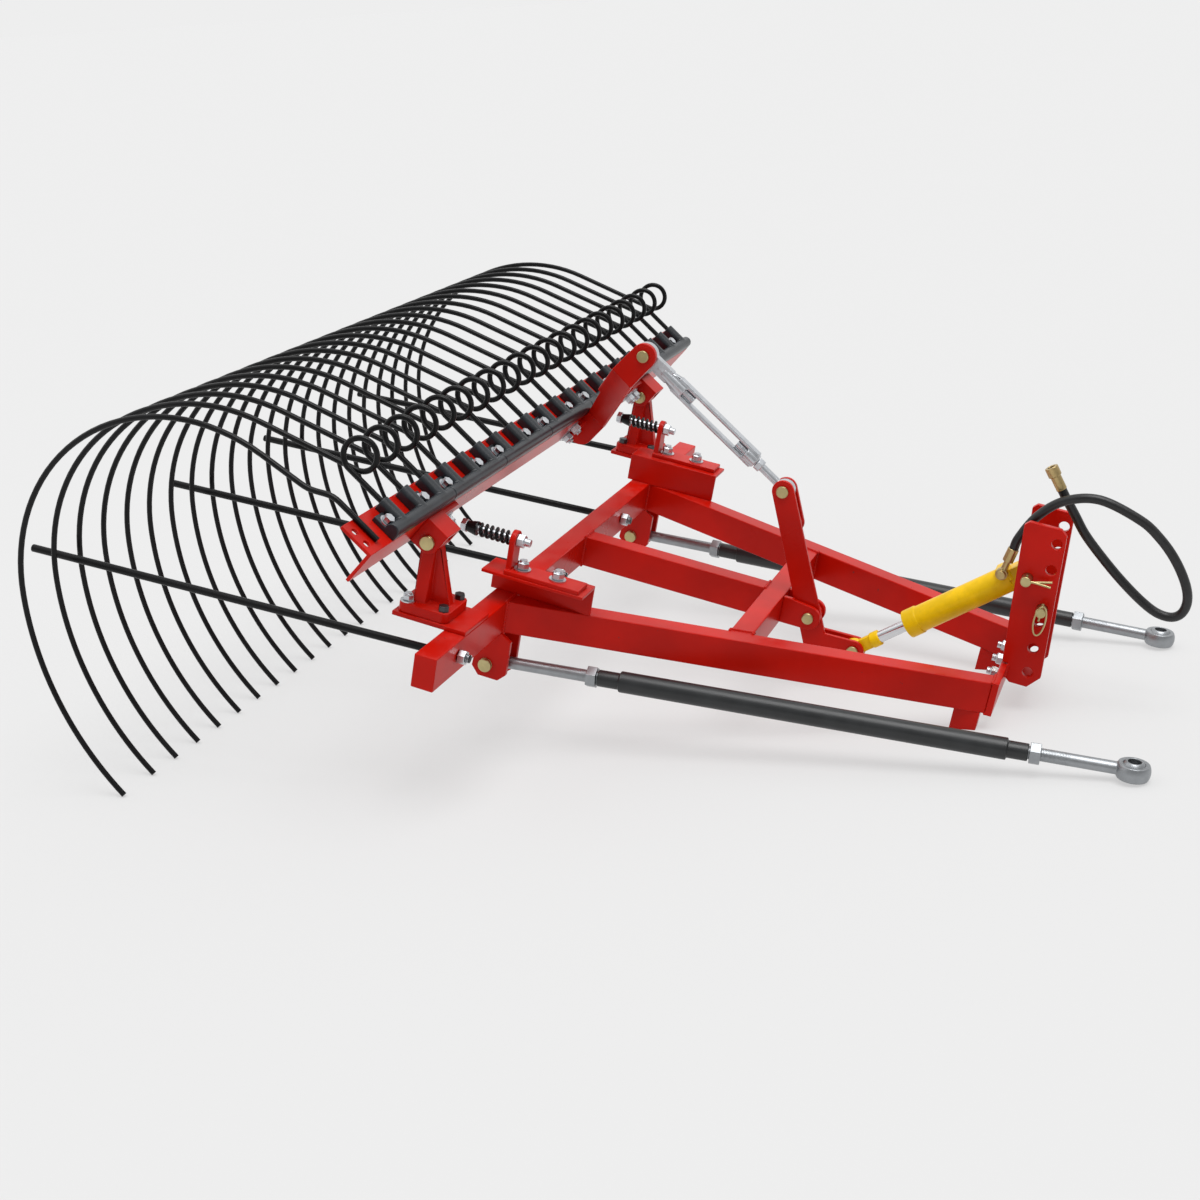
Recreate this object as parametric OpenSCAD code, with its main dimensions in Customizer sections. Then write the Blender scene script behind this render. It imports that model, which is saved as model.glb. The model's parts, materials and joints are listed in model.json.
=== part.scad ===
// Mounted hay dump rake: a hinged row of coil tines on a towed frame, lifted by one cylinder.
// Millimetres. +X points forward to the tractor, +Y to the left, +Z up, and the floor is Z = 0.
// The frame noses down as it parks, so its parts are drawn level and tilted about the rear tube.

/* [Frame] */
// Width of the frame tubes
tube_w = 40; // [30:1:50]
// Height of the frame tubes
tube_h = 60; // [50:1:80]
// Wall of the frame tubes
tube_wall = 4; // [2:0.5:6]
// Length of the rear cross tube
cross_len = 1430; // [1380:5:1600]
// Height of the rear cross tube's centre above the floor
cross_z = 259; // [250:1:275]
// Height of the frame's middle plane above the floor, at the front plate
front_z = 61.27; // [55:0.01:70]
// Cross tube's centre to the rear face of the front plate
frame_len = 847; // [830:1:860]
// Side beam's centre from the middle, at the cross tube
beam_rear_y = 398; // [380:1:410]
// Side beam's centre from the middle, at the front plate
beam_front_y = 141.5; // [130:0.5:150]
// Cross tube's centre to the middle crossbeam's centre
mid_x = 407; // [395:1:412]
// Thickness of the front plate
front_t = 12; // [8:1:16]
// Width of the front feet
foot_w = 30; // [20:1:38]
// Length of the front feet
foot_len = 46; // [30:1:60]

/* [Hitch tower] */
// Clear gap between the tower's side plates
tower_gap = 100; // [84:1:120]
// Thickness of the tower's side plates
tower_t = 12; // [8:1:14]
// Height of the tower's top above the frame's middle plane
tower_top = 303; // [290:1:330]
// Depth of the tower plates, front to back
tower_depth = 62; // [58:1:76]
// Radius of the hitch holes in the tower plates
hitch_r = 9.7; // [8:0.1:11]
// Height of the cylinder's base pin above the frame's middle plane
base_pin_z = 201; // [195:1:210]
// Radius of the cylinder's base pin and of the hitch pin
tower_pin_r = 9.5; // [8:0.1:10]

/* [Hinge posts] */
// Post's centre from the middle
post_y = 553; // [540:1:575]
// Height of the hinge pins above the frame's middle plane
hinge_z = 165; // [160:1:175]
// Hinge pins behind the cross tube's centre
hinge_back = 78; // [74:1:84]
// Radius of the hinge pins
hinge_r = 11; // [8:0.5:12]
// Radius of the post's top boss
boss_r = 20; // [16:0.5:21]
// Width of the post's top boss
boss_w = 34; // [28:1:40]
// Side of the post's square flange
flange_side = 92; // [84:1:104]
// Thickness of the post's flange
flange_t = 18; // [10:1:20]
// Thickness of the plate under the flange
seat_t = 8; // [6:1:12]

/* [Tine bar] */
// Leg of the steel angle
angle_leg = 65; // [62:1:72]
// Thickness of the steel angle
angle_t = 6; // [4:0.5:8]
// Angle's overhang at the right, past the first holder
bar_right_over = 75; // [60:1:90]
// Angle's overhang at the left, past the last holder
bar_left_over = 6; // [2:1:20]
// Slope of the angle's top leg as it parks
bar_slope = 45; // [44:0.5:46]
// Hinge pin in front of the angle's front leg
pivot_ahead = 26; // [26:0.5:30]
// Hinge pin below the angle's top face
pivot_below = 34; // [33:0.5:38]
// Thickness of the hinge bracket's ears
ear_t = 9; // [6:0.5:12]

/* [Tines] */
// Spacing of the tines
tine_pitch = 75; // [72:0.5:78]
// Diameter of the tine wire
wire_d = 10; // [8:0.5:11]
// First coil tine from the middle, on the right
first_tine_y = 670; // [665:1:675]
// Radius of the coil, to the middle of the wire
coil_r = 28; // [24:0.5:32]
// Side step of the wire over the coil
coil_step = 11.5; // [11.5:0.1:14]
// Shank from the angle's fold to the coil
shank_len = 138; // [125:1:150]
// Radius of the tine's upper bow
bow_r = 319; // [312:1:326]
// Centre of the upper bow behind the cross tube
bow_back = 410; // [400:1:420]
// Height of the upper bow's centre
bow_z = 365; // [355:1:375]
// Radius of the tine's lower reach
reach_r = 530; // [500:1:600]

/* [Tine holders] */
// Radius of the holder's front ridge and of its fingers
ridge_r = 12; // [10:0.5:14]
// Reach of the holder's fingers from the angle's fold
finger_reach = 62; // [52:1:70]
// Width of the holder's bolt pads
pad_w = 28; // [22:1:30]
// Gap between two holders
holder_gap = 1.2; // [1.1:0.1:3]

/* [Stripper rods] */
// Diameter of the stripper rods
rod_d = 14; // [10:0.5:16]
// Reach of the rods behind the cross tube's centre
rod_reach = 812; // [760:1:840]
// Droop of the rods from the frame's plane
rod_droop = 3; // [0:0.1:4]

/* [Lift linkage] */
// Hinge pin to the lift arm's pin
arm_len = 285; // [280:1:290]
// Slope of the line from hinge pin to arm pin
arm_slope = 45; // [44:0.5:46]
// Thickness of the lift arm
arm_t = 12; // [10:0.5:13]
// Middle of the arm's foot from the machine's middle
arm_foot_y = 178; // [165:1:190]
// Lever pivot in front of the middle crossbeam's centre
pivot_reach = 73; // [70:1:78]
// Lever pivot to the lever's top pin
lever_len = 246; // [240:1:250]
// Rearward lean of the lever from upright
lever_lean = 10.3; // [9:0.1:12]
// Lever pivot to the rod pin
fork_len = 105; // [102:1:110]
// Slope of the line from lever pivot down to the rod pin
fork_slope = 38.8; // [37:0.1:41]
// Lever pivot to the middle of the lever's foot
foot_down = 52; // [46:1:60]
// Width of the lever's bar
lever_w = 46; // [38:1:50]
// Thickness of the linkage eyes
eye_t = 15; // [10:1:18]
// Thickness of the lever's cheeks
cheek_t = 8; // [6:0.5:10]
// Radius of the linkage pins
link_pin_r = 9; // [7:0.5:10]

/* [Cylinder] */
// Outer radius of the cylinder barrel
barrel_r = 25; // [21:0.5:28]
// Barrel's open end to the rod pin, as it parks
rod_out = 116.4; // [108:0.1:130]
// Radius of the piston rod
piston_rod_r = 11; // [8:0.5:13]

/* [Lower links] */
// Link pin's centre from the machine's middle
link_y = 400; // [392:1:412]
// Link pins below the frame's middle plane
link_drop = 96; // [92:1:100]
// Link pin to the ball eye's centre
link_len = 1118; // [1080:1:1150]
// Inward toe of the links
link_toe = 3.7; // [2:0.1:5]
// Outer radius of the link's tube
link_r = 19; // [16:0.5:20]
// Radius of the link's threaded ends
link_end_r = 11; // [8:0.5:12]
// Radius of the link pins
link_pin_end_r = 11; // [9:0.5:12]
// Bore of the ball
ball_bore = 22.4; // [19:0.1:25.4]
// Outer radius of the ball eye
ball_eye_r = 27; // [26:0.5:30]
// Height of the ball eye
ball_eye_h = 26; // [22:1:30]

/* [Spring stops] */
// Stop's centre from the machine's middle
stop_y = 412; // [405:1:420]
// Height of the stop bolt above the frame's middle plane
stop_z = 145; // [142:1:150]
// Top of the stop's seat above the frame's middle plane
stop_seat_z = 86; // [78:1:92]
// Diameter of the stop bolt
stop_bolt_d = 14; // [10:0.5:16]

/* [Hidden] */
$fn = 48;
fit = 0.06;
face_gap = 0.3;

// Nose-down tilt of the frame as it parks
frame_tilt = asin((cross_z - front_z) / frame_len);

// Side view helpers: points are [x, z]
function from_frame(p) = [
    p.x * cos(frame_tilt) + p.y * sin(frame_tilt),
    cross_z - p.x * sin(frame_tilt) + p.y * cos(frame_tilt)
];
function polar(r, a) = [r * cos(a), r * sin(a)];
function slope_of(a, b) = atan2(b.y - a.y, b.x - a.x);
function floor_line(x) = (x * sin(frame_tilt) - cross_z) / cos(frame_tilt);

// Frame
beam_run = frame_len - tube_w / 2;
beam_angle = atan((beam_rear_y - beam_front_y) / beam_run);
beam_half = tube_w / 2 / cos(beam_angle);
function beam_y(x) = beam_rear_y - (x - tube_w / 2) * tan(beam_angle);
mid_front = mid_x + tube_w / 2;
mid_rear = mid_x - tube_w / 2;
front_half = beam_front_y + beam_half + 2;

// Tower
tower_x = frame_len + front_t;
tower_web_t = 10;
tower_lean = 2.3;
tower_back = 11;
function hitch_x(z) = tower_x + tower_depth - 24 - z * tan(tower_lean);
base_pin_x = tower_x - 7;
base_pin = from_frame([base_pin_x, base_pin_z]);
hitch_z = [28, 75, 127, 152, 226, 275];

// Hinge and tine bar
pivot = from_frame([-hinge_back, hinge_z]);
fold = pivot - [
    pivot_ahead * cos(bar_slope) - pivot_below * sin(bar_slope),
    -pivot_ahead * sin(bar_slope) - pivot_below * cos(bar_slope)
];
function from_bar(p) = fold + [
    p.x * cos(bar_slope) + p.y * sin(bar_slope),
    -p.x * sin(bar_slope) + p.y * cos(bar_slope)
];

// Tines
wire_r = wire_d / 2;
tines_each = 3;
holders = 7;
tine_count = tines_each * holders;
holder_len = tines_each * tine_pitch;
finger_at = 45;
holder_y0 = -first_tine_y - finger_at;
function tine_y(i) = -first_tine_y + i * tine_pitch;
bar_y0 = holder_y0 - bar_right_over;
bar_y1 = holder_y0 + holders * holder_len + bar_left_over;
shank_n = ridge_r;
coil = from_bar([-shank_len, shank_n + coil_r]);
bow = [-bow_back, bow_z];
reach = bow + [reach_r - bow_r, 0];
tip_z = wire_r * bow_z / (reach_r + wire_r);
tip_angle = 180 + asin((bow_z - tip_z) / reach_r);
run_lean = atan2(coil.x - bow.x, coil.y - bow.y);
run_slope = run_lean - acos((bow_r + coil_r) / norm(coil - bow));
coil_lean = atan(coil_step / 2 / coil_r);
rod_share = [-0.86, -0.23, 0.29, 0.925];
function gap_at(y) = floor((y + first_tine_y - tine_pitch / 2 - coil_step) / tine_pitch);
function rod_gap(i) = max(0, min(tine_count - 2, gap_at(rod_share[i] * cross_len / 2)));
function rod_y(i) = tine_y(rod_gap(i)) + tine_pitch / 2 + coil_step;
end_tine_y = holder_y0 - bar_right_over / 2;

// Linkage pins, seen from the side
arm_pin = pivot + polar(arm_len, arm_slope);
lever_pivot_x = mid_x + pivot_reach;
lever_pivot = from_frame([lever_pivot_x, -3]);
lever_top = lever_pivot + polar(lever_len, 90 + lever_lean);
rod_pin = lever_pivot + polar(fork_len, -fork_slope);
turnbuckle_len = norm(lever_top - arm_pin);
turnbuckle_slope = slope_of(lever_top, arm_pin) - 180;
cylinder_len = norm(rod_pin - base_pin);
cylinder_slope = slope_of(rod_pin, base_pin);
barrel_len = cylinder_len - rod_out;
eye_half = eye_t / 2;
cheek_in = eye_half + 0.5;
cheek_out = cheek_in + cheek_t;
bracket_in = cheek_out + 1;
bracket_t = 10;
eye_r = link_pin_r + 11;

// Lower links
link_pin = from_frame([0, -link_drop]);
ball_half = ball_eye_h / 2 + 4;
ball_r = ball_eye_r - 5;
ball_rim = sqrt(ball_r * ball_r - ball_half * ball_half);
ear_half = 17;
link_plate_t = 10;
link_run = link_len * cos(link_toe);
link_lean = asin((link_pin.y - ball_half) / link_run);
ball_z = ball_half * cos(link_lean) + ball_rim * sin(link_lean);
link_pitch = asin((link_pin.y - ball_z) / link_run);
nut_rear_x = 180;
nut_front_x = link_len - 150;

// Hose route: from a banjo on the cylinder's near side, up between the tower plates, round the loop
// and back up to the free end, on hand-chosen points
hose_d = 17;
port_along = 45;
port_rise = 20;
port_out = 24;
banjo_w = 12;
ferrule_len = 52;
ferrule_lean = 23.5;
port_axis = base_pin - polar(port_along, cylinder_slope) + polar(port_rise, cylinder_slope + 90);
banjo = [port_axis.x, -port_out - face_gap - banjo_w / 2, port_axis.y];
ferrule_up = [sin(ferrule_lean), 0, cos(ferrule_lean)];
hose_points = [
    banjo + (ferrule_len + 0.9) * ferrule_up, banjo + (ferrule_len + 24) * ferrule_up,
    [888, -28, 361], [934, -28, 390], [994, -28, 394], [1062, -24, 359], [1096, -20, 326],
    [1122, -15, 287], [1140, -9, 244], [1145, -3, 210], [1137, 3, 184], [1119, 7, 173], [1093, 10, 179],
    [1064, 12, 201], [1028, 14, 238], [993, 14, 281], [966, 13, 319], [948, 12, 354], [935, 11, 379],
    [925, 10, 400]
];
hose_route = smooth(hose_points, 2);

// Placing: the tilted frame, the sloping bar, and a pin line between two points of the side view
module in_frame() {
    translate([0, 0, cross_z]) rotate([0, frame_tilt, 0]) children();
}

module on_bar() {
    translate([fold.x, 0, fold.y]) rotate([0, bar_slope, 0]) children();
}

module at_xz(p) {
    translate([p.x, 0, p.y]) children();
}

module both_sides() {
    children();
    mirror([0, 1, 0]) children();
}

// A flat shape of the side view, given a thickness from y0 to y1
module slab(y0, y1) {
    translate([0, y1, 0]) rotate([90, 0, 0]) linear_extrude(y1 - y0) children();
}

// A round bar along Y
module bar_y(r, y0, y1) {
    translate([0, y1, 0]) rotate([90, 0, 0]) cylinder(r = r, h = y1 - y0);
}

// A round bar along X
module bar_x(r, x0, x1) {
    translate([x0, 0, 0]) rotate([0, 90, 0]) cylinder(r = r, h = x1 - x0);
}

// A hexagon nut along X, by its width across flats
module nut_x(flats, x0, x1) {
    translate([x0, 0, 0]) rotate([0, 90, 0]) cylinder(d = flats / cos(30), h = x1 - x0, $fn = 6);
}

// Two circles and their outer tangents
module strap(p, rp, q, rq) {
    run = norm(q - p);
    lean = slope_of(p, q);
    spread = acos((rp - rq) / run);
    polygon([
        p + polar(rp, lean + spread), p + polar(rp, lean - spread),
        q + polar(rq, lean - spread), q + polar(rq, lean + spread)
    ]);
    translate(p) circle(rp);
    translate(q) circle(rq);
}

// A rectangle with round corners
module round_rect(w, d, r) {
    square([w - 2 * r, d], center = true);
    square([w, d - 2 * r], center = true);
    for (x = [-1, 1], y = [-1, 1]) {
        translate([x * (w / 2 - r), y * (d / 2 - r)]) circle(r);
    }
}

// Round wire in the side view: a ring swept over an arc, a straight, and the bead that joins two
// pieces. Each piece stops just short of its joint, inside the bead.
wire_short = 0.1;
wire_bead = 0.2;

module wire_ring(r, turn) {
    short = wire_short / r * 180 / PI;
    rotate([0, 0, short]) rotate_extrude(angle = turn - 2 * short, $fn = 96)
        translate([r, 0]) circle(wire_r, $fn = 24);
}

module wire_arc(c, r, a0, a1) {
    at_xz(c) rotate([90, 0, 0]) rotate([0, 0, a0]) wire_ring(r, a1 - a0);
}

module wire_run(p, q) {
    at_xz(p) rotate([0, 90 - slope_of(p, q), 0]) translate([0, 0, wire_short])
        cylinder(r = wire_r, h = norm(q - p) - 2 * wire_short, $fn = 24);
}

module wire_joint(p) {
    at_xz(p) sphere(wire_r + wire_bead, $fn = 24);
}

// Tube swept along points: one ring of sides per point, square to the run there
function unit(v) = v / norm(v);
function run_at(p, i) = unit(p[min(i + 1, len(p) - 1)] - p[max(i - 1, 0)]);
function side_at(t) = unit(cross(t, abs(t.y) < 0.9 ? [0, 1, 0] : [1, 0, 0]));
function ring_at(p, i, r, n) = let (t = run_at(p, i), s = side_at(t), u = cross(s, t))
    [for (k = [0 : n - 1]) p[i] + r * (cos(360 * k / n) * s + sin(360 * k / n) * u)];

module swept(p, r, n) {
    rings = len(p);
    points = [for (i = [0 : rings - 1]) each ring_at(p, i, r, n)];
    walls = [for (i = [0 : rings - 2], k = [0 : n - 1])
        let (a = i * n + k, b = i * n + (k + 1) % n) each [[a, b, b + n], [a, b + n, a + n]]];
    caps = [[for (k = [n - 1 : -1 : 0]) k], [for (k = [0 : n - 1]) (rings - 1) * n + k]];
    polyhedron(points, concat(walls, caps));
}

// Points between hand-chosen ones, on a smooth curve through them
function eased(a, b, c, d, t) = 0.5 * (2 * b + (c - a) * t + (2 * a - 5 * b + 4 * c - d) * t * t
    + (3 * b - a - 3 * c + d) * t * t * t);
function smooth(p, n) = let (m = len(p) - 1) [for (i = [0 : m - 1], k = [0 : n - 1])
    eased(p[max(i - 1, 0)], p[i], p[i + 1], p[min(i + 2, m)], k / n), p[m]];

module rect_tube(len) {
    difference() {
        translate([0, -tube_w / 2, -tube_h / 2]) cube([len, tube_w, tube_h]);
        translate([-1, tube_wall - tube_w / 2, tube_wall - tube_h / 2])
            cube([len + 2, tube_w - 2 * tube_wall, tube_h - 2 * tube_wall]);
    }
}

// Frame parts

module rod_line(i) {
    translate([0, rod_y(i), 0]) rotate([0, -rod_droop, 0]) children();
}

module cross_tube() {
    color("firebrick") in_frame() difference() {
        cube([tube_w, cross_len, tube_h], center = true);
        cube([tube_w - 2 * tube_wall, cross_len - 2 * tube_wall, tube_h - 2 * tube_wall], center = true);
        for (i = [0 : 3]) rod_line(i) bar_x(rod_d / 2 + fit, -tube_w, tube_w);
    }
}

module side_beam() {
    color("firebrick") in_frame() intersection() {
        translate([tube_w / 2, beam_rear_y, 0]) rotate([0, 0, -beam_angle])
            translate([-tube_w, 0, 0]) rect_tube(beam_run / cos(beam_angle) + 2 * tube_w);
        translate([tube_w / 2, 0, -tube_h]) cube([beam_run, cross_len, 2 * tube_h]);
    }
}

module side_beam_right() {
    mirror([0, 1, 0]) side_beam();
}

module side_beam_left() {
    side_beam();
}

module centre_beam() {
    color("firebrick") in_frame()
        translate([tube_w / 2, 0, 0]) rect_tube(mid_rear - tube_w / 2);
}

module mid_crossbeam() {
    rear_y = beam_y(mid_rear) - beam_half;
    front_y = beam_y(mid_front) - beam_half;
    color("firebrick") in_frame() difference() {
        translate([0, 0, -tube_h / 2]) linear_extrude(tube_h) polygon([
            [mid_rear, -rear_y], [mid_front, -front_y], [mid_front, front_y], [mid_rear, rear_y]
        ]);
        translate([mid_rear + tube_wall, -cross_len / 2, tube_wall - tube_h / 2])
            cube([tube_w - 2 * tube_wall, cross_len, tube_h - 2 * tube_wall]);
    }
}

module front_plate() {
    color("firebrick") in_frame()
        translate([frame_len, -front_half, -tube_h / 2 - 2]) cube([front_t, 2 * front_half, tube_h + 4]);
}

module front_feet() {
    x1 = frame_len - 8;
    x0 = x1 - foot_len;
    y = beam_y((x0 + x1) / 2);
    color("firebrick") in_frame() both_sides() slab(y - foot_w / 2, y + foot_w / 2) polygon([
        [x0, -tube_h / 2], [x1, -tube_h / 2], [x1, floor_line(x1)], [x0, floor_line(x0)]
    ]);
}

module lever_bracket() {
    h = tube_h - 8;
    r = lever_w / 2;
    color("firebrick") in_frame() both_sides() difference() {
        slab(bracket_in, bracket_in + bracket_t) union() {
            translate([mid_front, -h / 2]) square([20, h]);
            strap([mid_front + 20 - h / 2 + 8, 0], h / 2, [lever_pivot_x, -3], r);
        }
        translate([mid_rear - tube_h, 0, -tube_h]) cube([tube_w + tube_h, 2 * tube_h, 2 * tube_h]);
        translate([lever_pivot_x, 0, -3]) bar_y(link_pin_r + fit, 0, 100);
    }
}

module lever_pivot_pin() {
    out = bracket_in + bracket_t;
    color("darkkhaki") at_xz(lever_pivot) {
        bar_y(link_pin_r, -out - 1, out + 12);
        bar_y(link_pin_r + 2, -out - 6, -out - face_gap);
    }
}

module link_ears() {
    color("firebrick") in_frame() both_sides() for (s = [-1, 1]) {
        y = link_y + s * (ear_half + link_plate_t / 2);
        difference() {
            slab(y - link_plate_t / 2, y + link_plate_t / 2) polygon([
                [-20, -tube_h / 2], [-26, -link_drop - 8], [-12, -link_drop - 24],
                [26, -link_drop - 24], [40, -link_drop - 10], [40, -tube_h / 2 - 12],
                [20, -tube_h / 2]
            ]);
            translate([0, 0, -link_drop]) bar_y(link_pin_end_r + fit, 0, cross_len);
        }
    }
}

module link_pins() {
    out = ear_half + link_plate_t;
    color("darkkhaki") for (s = [-1, 1]) translate([0, s * link_y, 0]) at_xz(link_pin) {
        bar_y(link_pin_end_r, -out - 1, out + 14);
        bar_y(link_pin_end_r + 1.5, -out - 7, -out - face_gap);
    }
}

module post_seats() {
    rear = hinge_back - 14 + flange_side / 2;
    color("firebrick") in_frame() both_sides()
        translate([-rear - 6, post_y - flange_side / 2 - 4, tube_h / 2])
            cube([rear + 6 + tube_w / 2, flange_side + 8, seat_t]);
}

// A cast post: flange, crossed ribs and the bored top boss
module post() {
    base = tube_h / 2 + seat_t;
    top = hinge_z;
    mid = -hinge_back + 14;
    difference() {
        union() {
            translate([mid, 0, base]) linear_extrude(flange_t) round_rect(flange_side, flange_side, 12);
            slab(-boss_w / 4, boss_w / 4) polygon([
                [mid - 34, base + flange_t], [-hinge_back - boss_r + 3, top - 8],
                [-hinge_back - boss_r + 3, top], [-hinge_back + boss_r - 3, top],
                [-hinge_back + boss_r - 3, top - 8], [mid + 34, base + flange_t]
            ]);
            translate([-hinge_back, 0, 0]) rotate([0, 0, 90]) slab(-11, 11) polygon([
                [-30, base + flange_t], [-boss_w / 2, top - 20], [-boss_w / 2, top],
                [boss_w / 2, top], [boss_w / 2, top - 20], [30, base + flange_t]
            ]);
            translate([-hinge_back, 0, top]) bar_y(boss_r, -boss_w / 2, boss_w / 2);
        }
        translate([-hinge_back, 0, top]) bar_y(hinge_r + fit, -boss_w, boss_w);
    }
}

module post_right() {
    color("firebrick") in_frame() translate([0, -post_y, 0]) post();
}

module post_left() {
    color("firebrick") in_frame() translate([0, post_y, 0]) post();
}

module hinge_pins() {
    out = boss_w / 2 + 1 + ear_t;
    color("darkkhaki") for (s = [-1, 1]) translate([0, s * post_y, 0]) at_xz(pivot) {
        bar_y(hinge_r, -out - 1, out + 12);
        bar_y(hinge_r + 2, -out - 6, -out - face_gap);
    }
}

// Spring stops: an angle seat on the tube and beam, a bar with an upright tab, bolt and spring
stop_x0 = -30;
stop_x1 = 160;
tab_x = 10;
tab_t = 10;
stop_reach = 78;
stop_nut_t = 10;
cup_len = 20;
spring_back = 53;

module stop_seats() {
    t = 6;
    color("firebrick") in_frame() both_sides() {
        translate([stop_x0, stop_y - 40, stop_seat_z - t]) cube([stop_x1 - stop_x0, 66, t]);
        translate([stop_x0, stop_y - 40, tube_h / 2])
            cube([stop_x1 - stop_x0, t, stop_seat_z - t - tube_h / 2]);
    }
}

module stop_tabs() {
    color("firebrick") in_frame() both_sides() translate([0, stop_y, 0]) difference() {
        union() {
            translate([tab_x, -24, stop_seat_z]) cube([stop_x1 - tab_x - 10, 48, 8]);
            translate([tab_x, 0, 0]) rotate([0, 90, 0]) linear_extrude(tab_t) union() {
                translate([-stop_z, -17]) square([stop_z - stop_seat_z, 34]);
                translate([-stop_z, 0]) circle(17);
            }
        }
        translate([0, 0, stop_z]) bar_x(stop_bolt_d / 2 + fit, 0, 100);
    }
}

module stop_bolts() {
    r = stop_bolt_d / 2;
    color("silver") in_frame() both_sides() translate([0, stop_y, stop_z]) {
        bar_x(r, -stop_reach, tab_x + tab_t + 24);
        nut_x(stop_bolt_d * 1.55, 2 - stop_reach - stop_nut_t, 2 - stop_reach);
        nut_x(stop_bolt_d * 1.55, tab_x + tab_t + face_gap, tab_x + tab_t + 13);
    }
}

module stop_springs() {
    turns = 6;
    steps = 14;
    r = stop_bolt_d / 2 + 3.2;
    x0 = -spring_back;
    x1 = tab_x - 3;
    color("dimgray") in_frame() both_sides() translate([0, stop_y, stop_z]) {
        swept([
            for (i = [0 : turns * steps])
                [x0 + (x1 - x0) * i / (turns * steps), r * cos(360 * i / steps), r * sin(360 * i / steps)]
        ], 2.2, 6);
        difference() {
            bar_x(stop_bolt_d / 2 + 6, 2 - stop_reach + face_gap, 2 - stop_reach + cup_len);
            bar_x(stop_bolt_d / 2 + fit, -stop_reach, 3 - stop_reach + cup_len);
        }
    }
}

module stripper_rods() {
    color("black") in_frame() for (i = [0 : 3])
        rod_line(i) bar_x(rod_d / 2, -rod_reach, tube_w / 2 + 22);
}

module stripper_nuts() {
    color("silver") in_frame() for (i = [0 : 3]) rod_line(i) difference() {
        nut_x(rod_d * 1.6, tube_w / 2 + 2, tube_w / 2 + 15);
        bar_x(rod_d / 2 + fit, 0, tube_w);
    }
}

// Hitch tower

module tower_plates() {
    x0 = tower_x;
    x1 = tower_x + tower_depth;
    step_z = tube_h / 2 + 5;
    color("firebrick") in_frame() both_sides() difference() {
        slab(tower_gap / 2, tower_gap / 2 + tower_t) polygon([
            [x0, 8], [x0, step_z], [x0 - tower_back, step_z], [x0 - 36, tower_top - 8], [x0 - 28, tower_top],
            [x1 - 34, tower_top], [x1 - 22, tower_top - 10], [x1, 24], [x1 - 20, 0], [x0 + 10, 0]
        ]);
        for (z = hitch_z) translate([hitch_x(z), 0, z]) bar_y(hitch_r, 0, tower_gap);
        translate([base_pin_x, 0, base_pin_z]) bar_y(tower_pin_r + fit, 0, tower_gap);
    }
}

module tower_web() {
    color("firebrick") in_frame() translate([tower_x, -tower_gap / 2, 4]) {
        cube([tower_web_t, tower_gap, 96]);
        cube([tower_depth - 12, tower_gap, 8]);
    }
}

module tower_pin(p, out) {
    at_xz(p) {
        bar_y(tower_pin_r, -out, out);
        bar_y(tower_pin_r + 4, out - 6, out);
    }
}

module tower_pins() {
    out = tower_gap / 2 + tower_t + 24;
    color("darkkhaki") {
        tower_pin(base_pin, out);
        tower_pin(from_frame([hitch_x(hitch_z[3]), hitch_z[3]]), out);
    }
}

// Tine bar

module tine_bar() {
    h = bar_y1 - bar_y0;
    color("firebrick") on_bar() difference() {
        slab(bar_y0, bar_y1) polygon([
            [0, 0], [-angle_leg, 0], [-angle_leg, -angle_t], [-angle_t, -angle_t],
            [-angle_t, -angle_leg], [0, -angle_leg]
        ]);
        for (x = [-20, -46])
            translate([x, bar_y0 + 16, -2 * angle_t]) cylinder(r = 6, h = 3 * angle_t);
    }
}

module hinge_brackets() {
    pin = [pivot_ahead, -pivot_below];
    in = boss_w / 2 + 1;
    flange_reach = 72;
    flange_plate_t = 8;
    color("firebrick") on_bar() for (s = [-1, 1]) translate([0, s * post_y, 0]) difference() {
        union() {
            for (y = [-in - ear_t, in]) {
                slab(y, y + ear_t) {
                    translate([0, -pivot_below - 20]) square([pivot_ahead, pivot_below + 20]);
                    translate(pin) circle(20);
                    translate([0, -pivot_below]) square([pivot_ahead + 20, pivot_below]);
                }
            }
            translate([0, -in - ear_t, -7]) cube([pivot_ahead + 20, 2 * (in + ear_t), 7]);
            translate([0, s > 0 ? -in - flange_reach : in, 4 - angle_leg])
                cube([flange_plate_t, flange_reach, angle_leg - 8]);
        }
        translate([pin.x, 0, pin.y]) bar_y(hinge_r + fit, -100, 100);
    }
}

// A moulded holder: front ridge, three fingers and two bolt pads
module tine_holder(i) {
    y0 = holder_y0 + i * holder_len + holder_gap / 2;
    y1 = holder_y0 + (i + 1) * holder_len - holder_gap / 2;
    color("darkslategray") on_bar() difference() {
        union() {
            translate([-ridge_r, 0, ridge_r]) bar_y(ridge_r, y0, y1);
            translate([-2 * ridge_r, y0, 0]) cube([2 * ridge_r, y1 - y0, ridge_r]);
            for (k = [0 : tines_each - 1]) translate([0, tine_y(i * tines_each + k), 0]) {
                translate([0, 0, shank_n]) bar_x(ridge_r, -finger_reach, -ridge_r);
                translate([-finger_reach, -ridge_r, 0]) cube([finger_reach - ridge_r, 2 * ridge_r, shank_n]);
            }
            for (y = [y0, tine_y(i * tines_each + 1) + ridge_r])
                translate([-finger_reach + 14, y, 0]) cube([finger_reach - 14 - ridge_r, pad_w, 9]);
        }
        for (k = [0 : tines_each - 1]) translate([0, tine_y(i * tines_each + k), shank_n])
            bar_x(wire_r + 0.1, -2 * finger_reach, -ridge_r - 4);
    }
}

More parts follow.
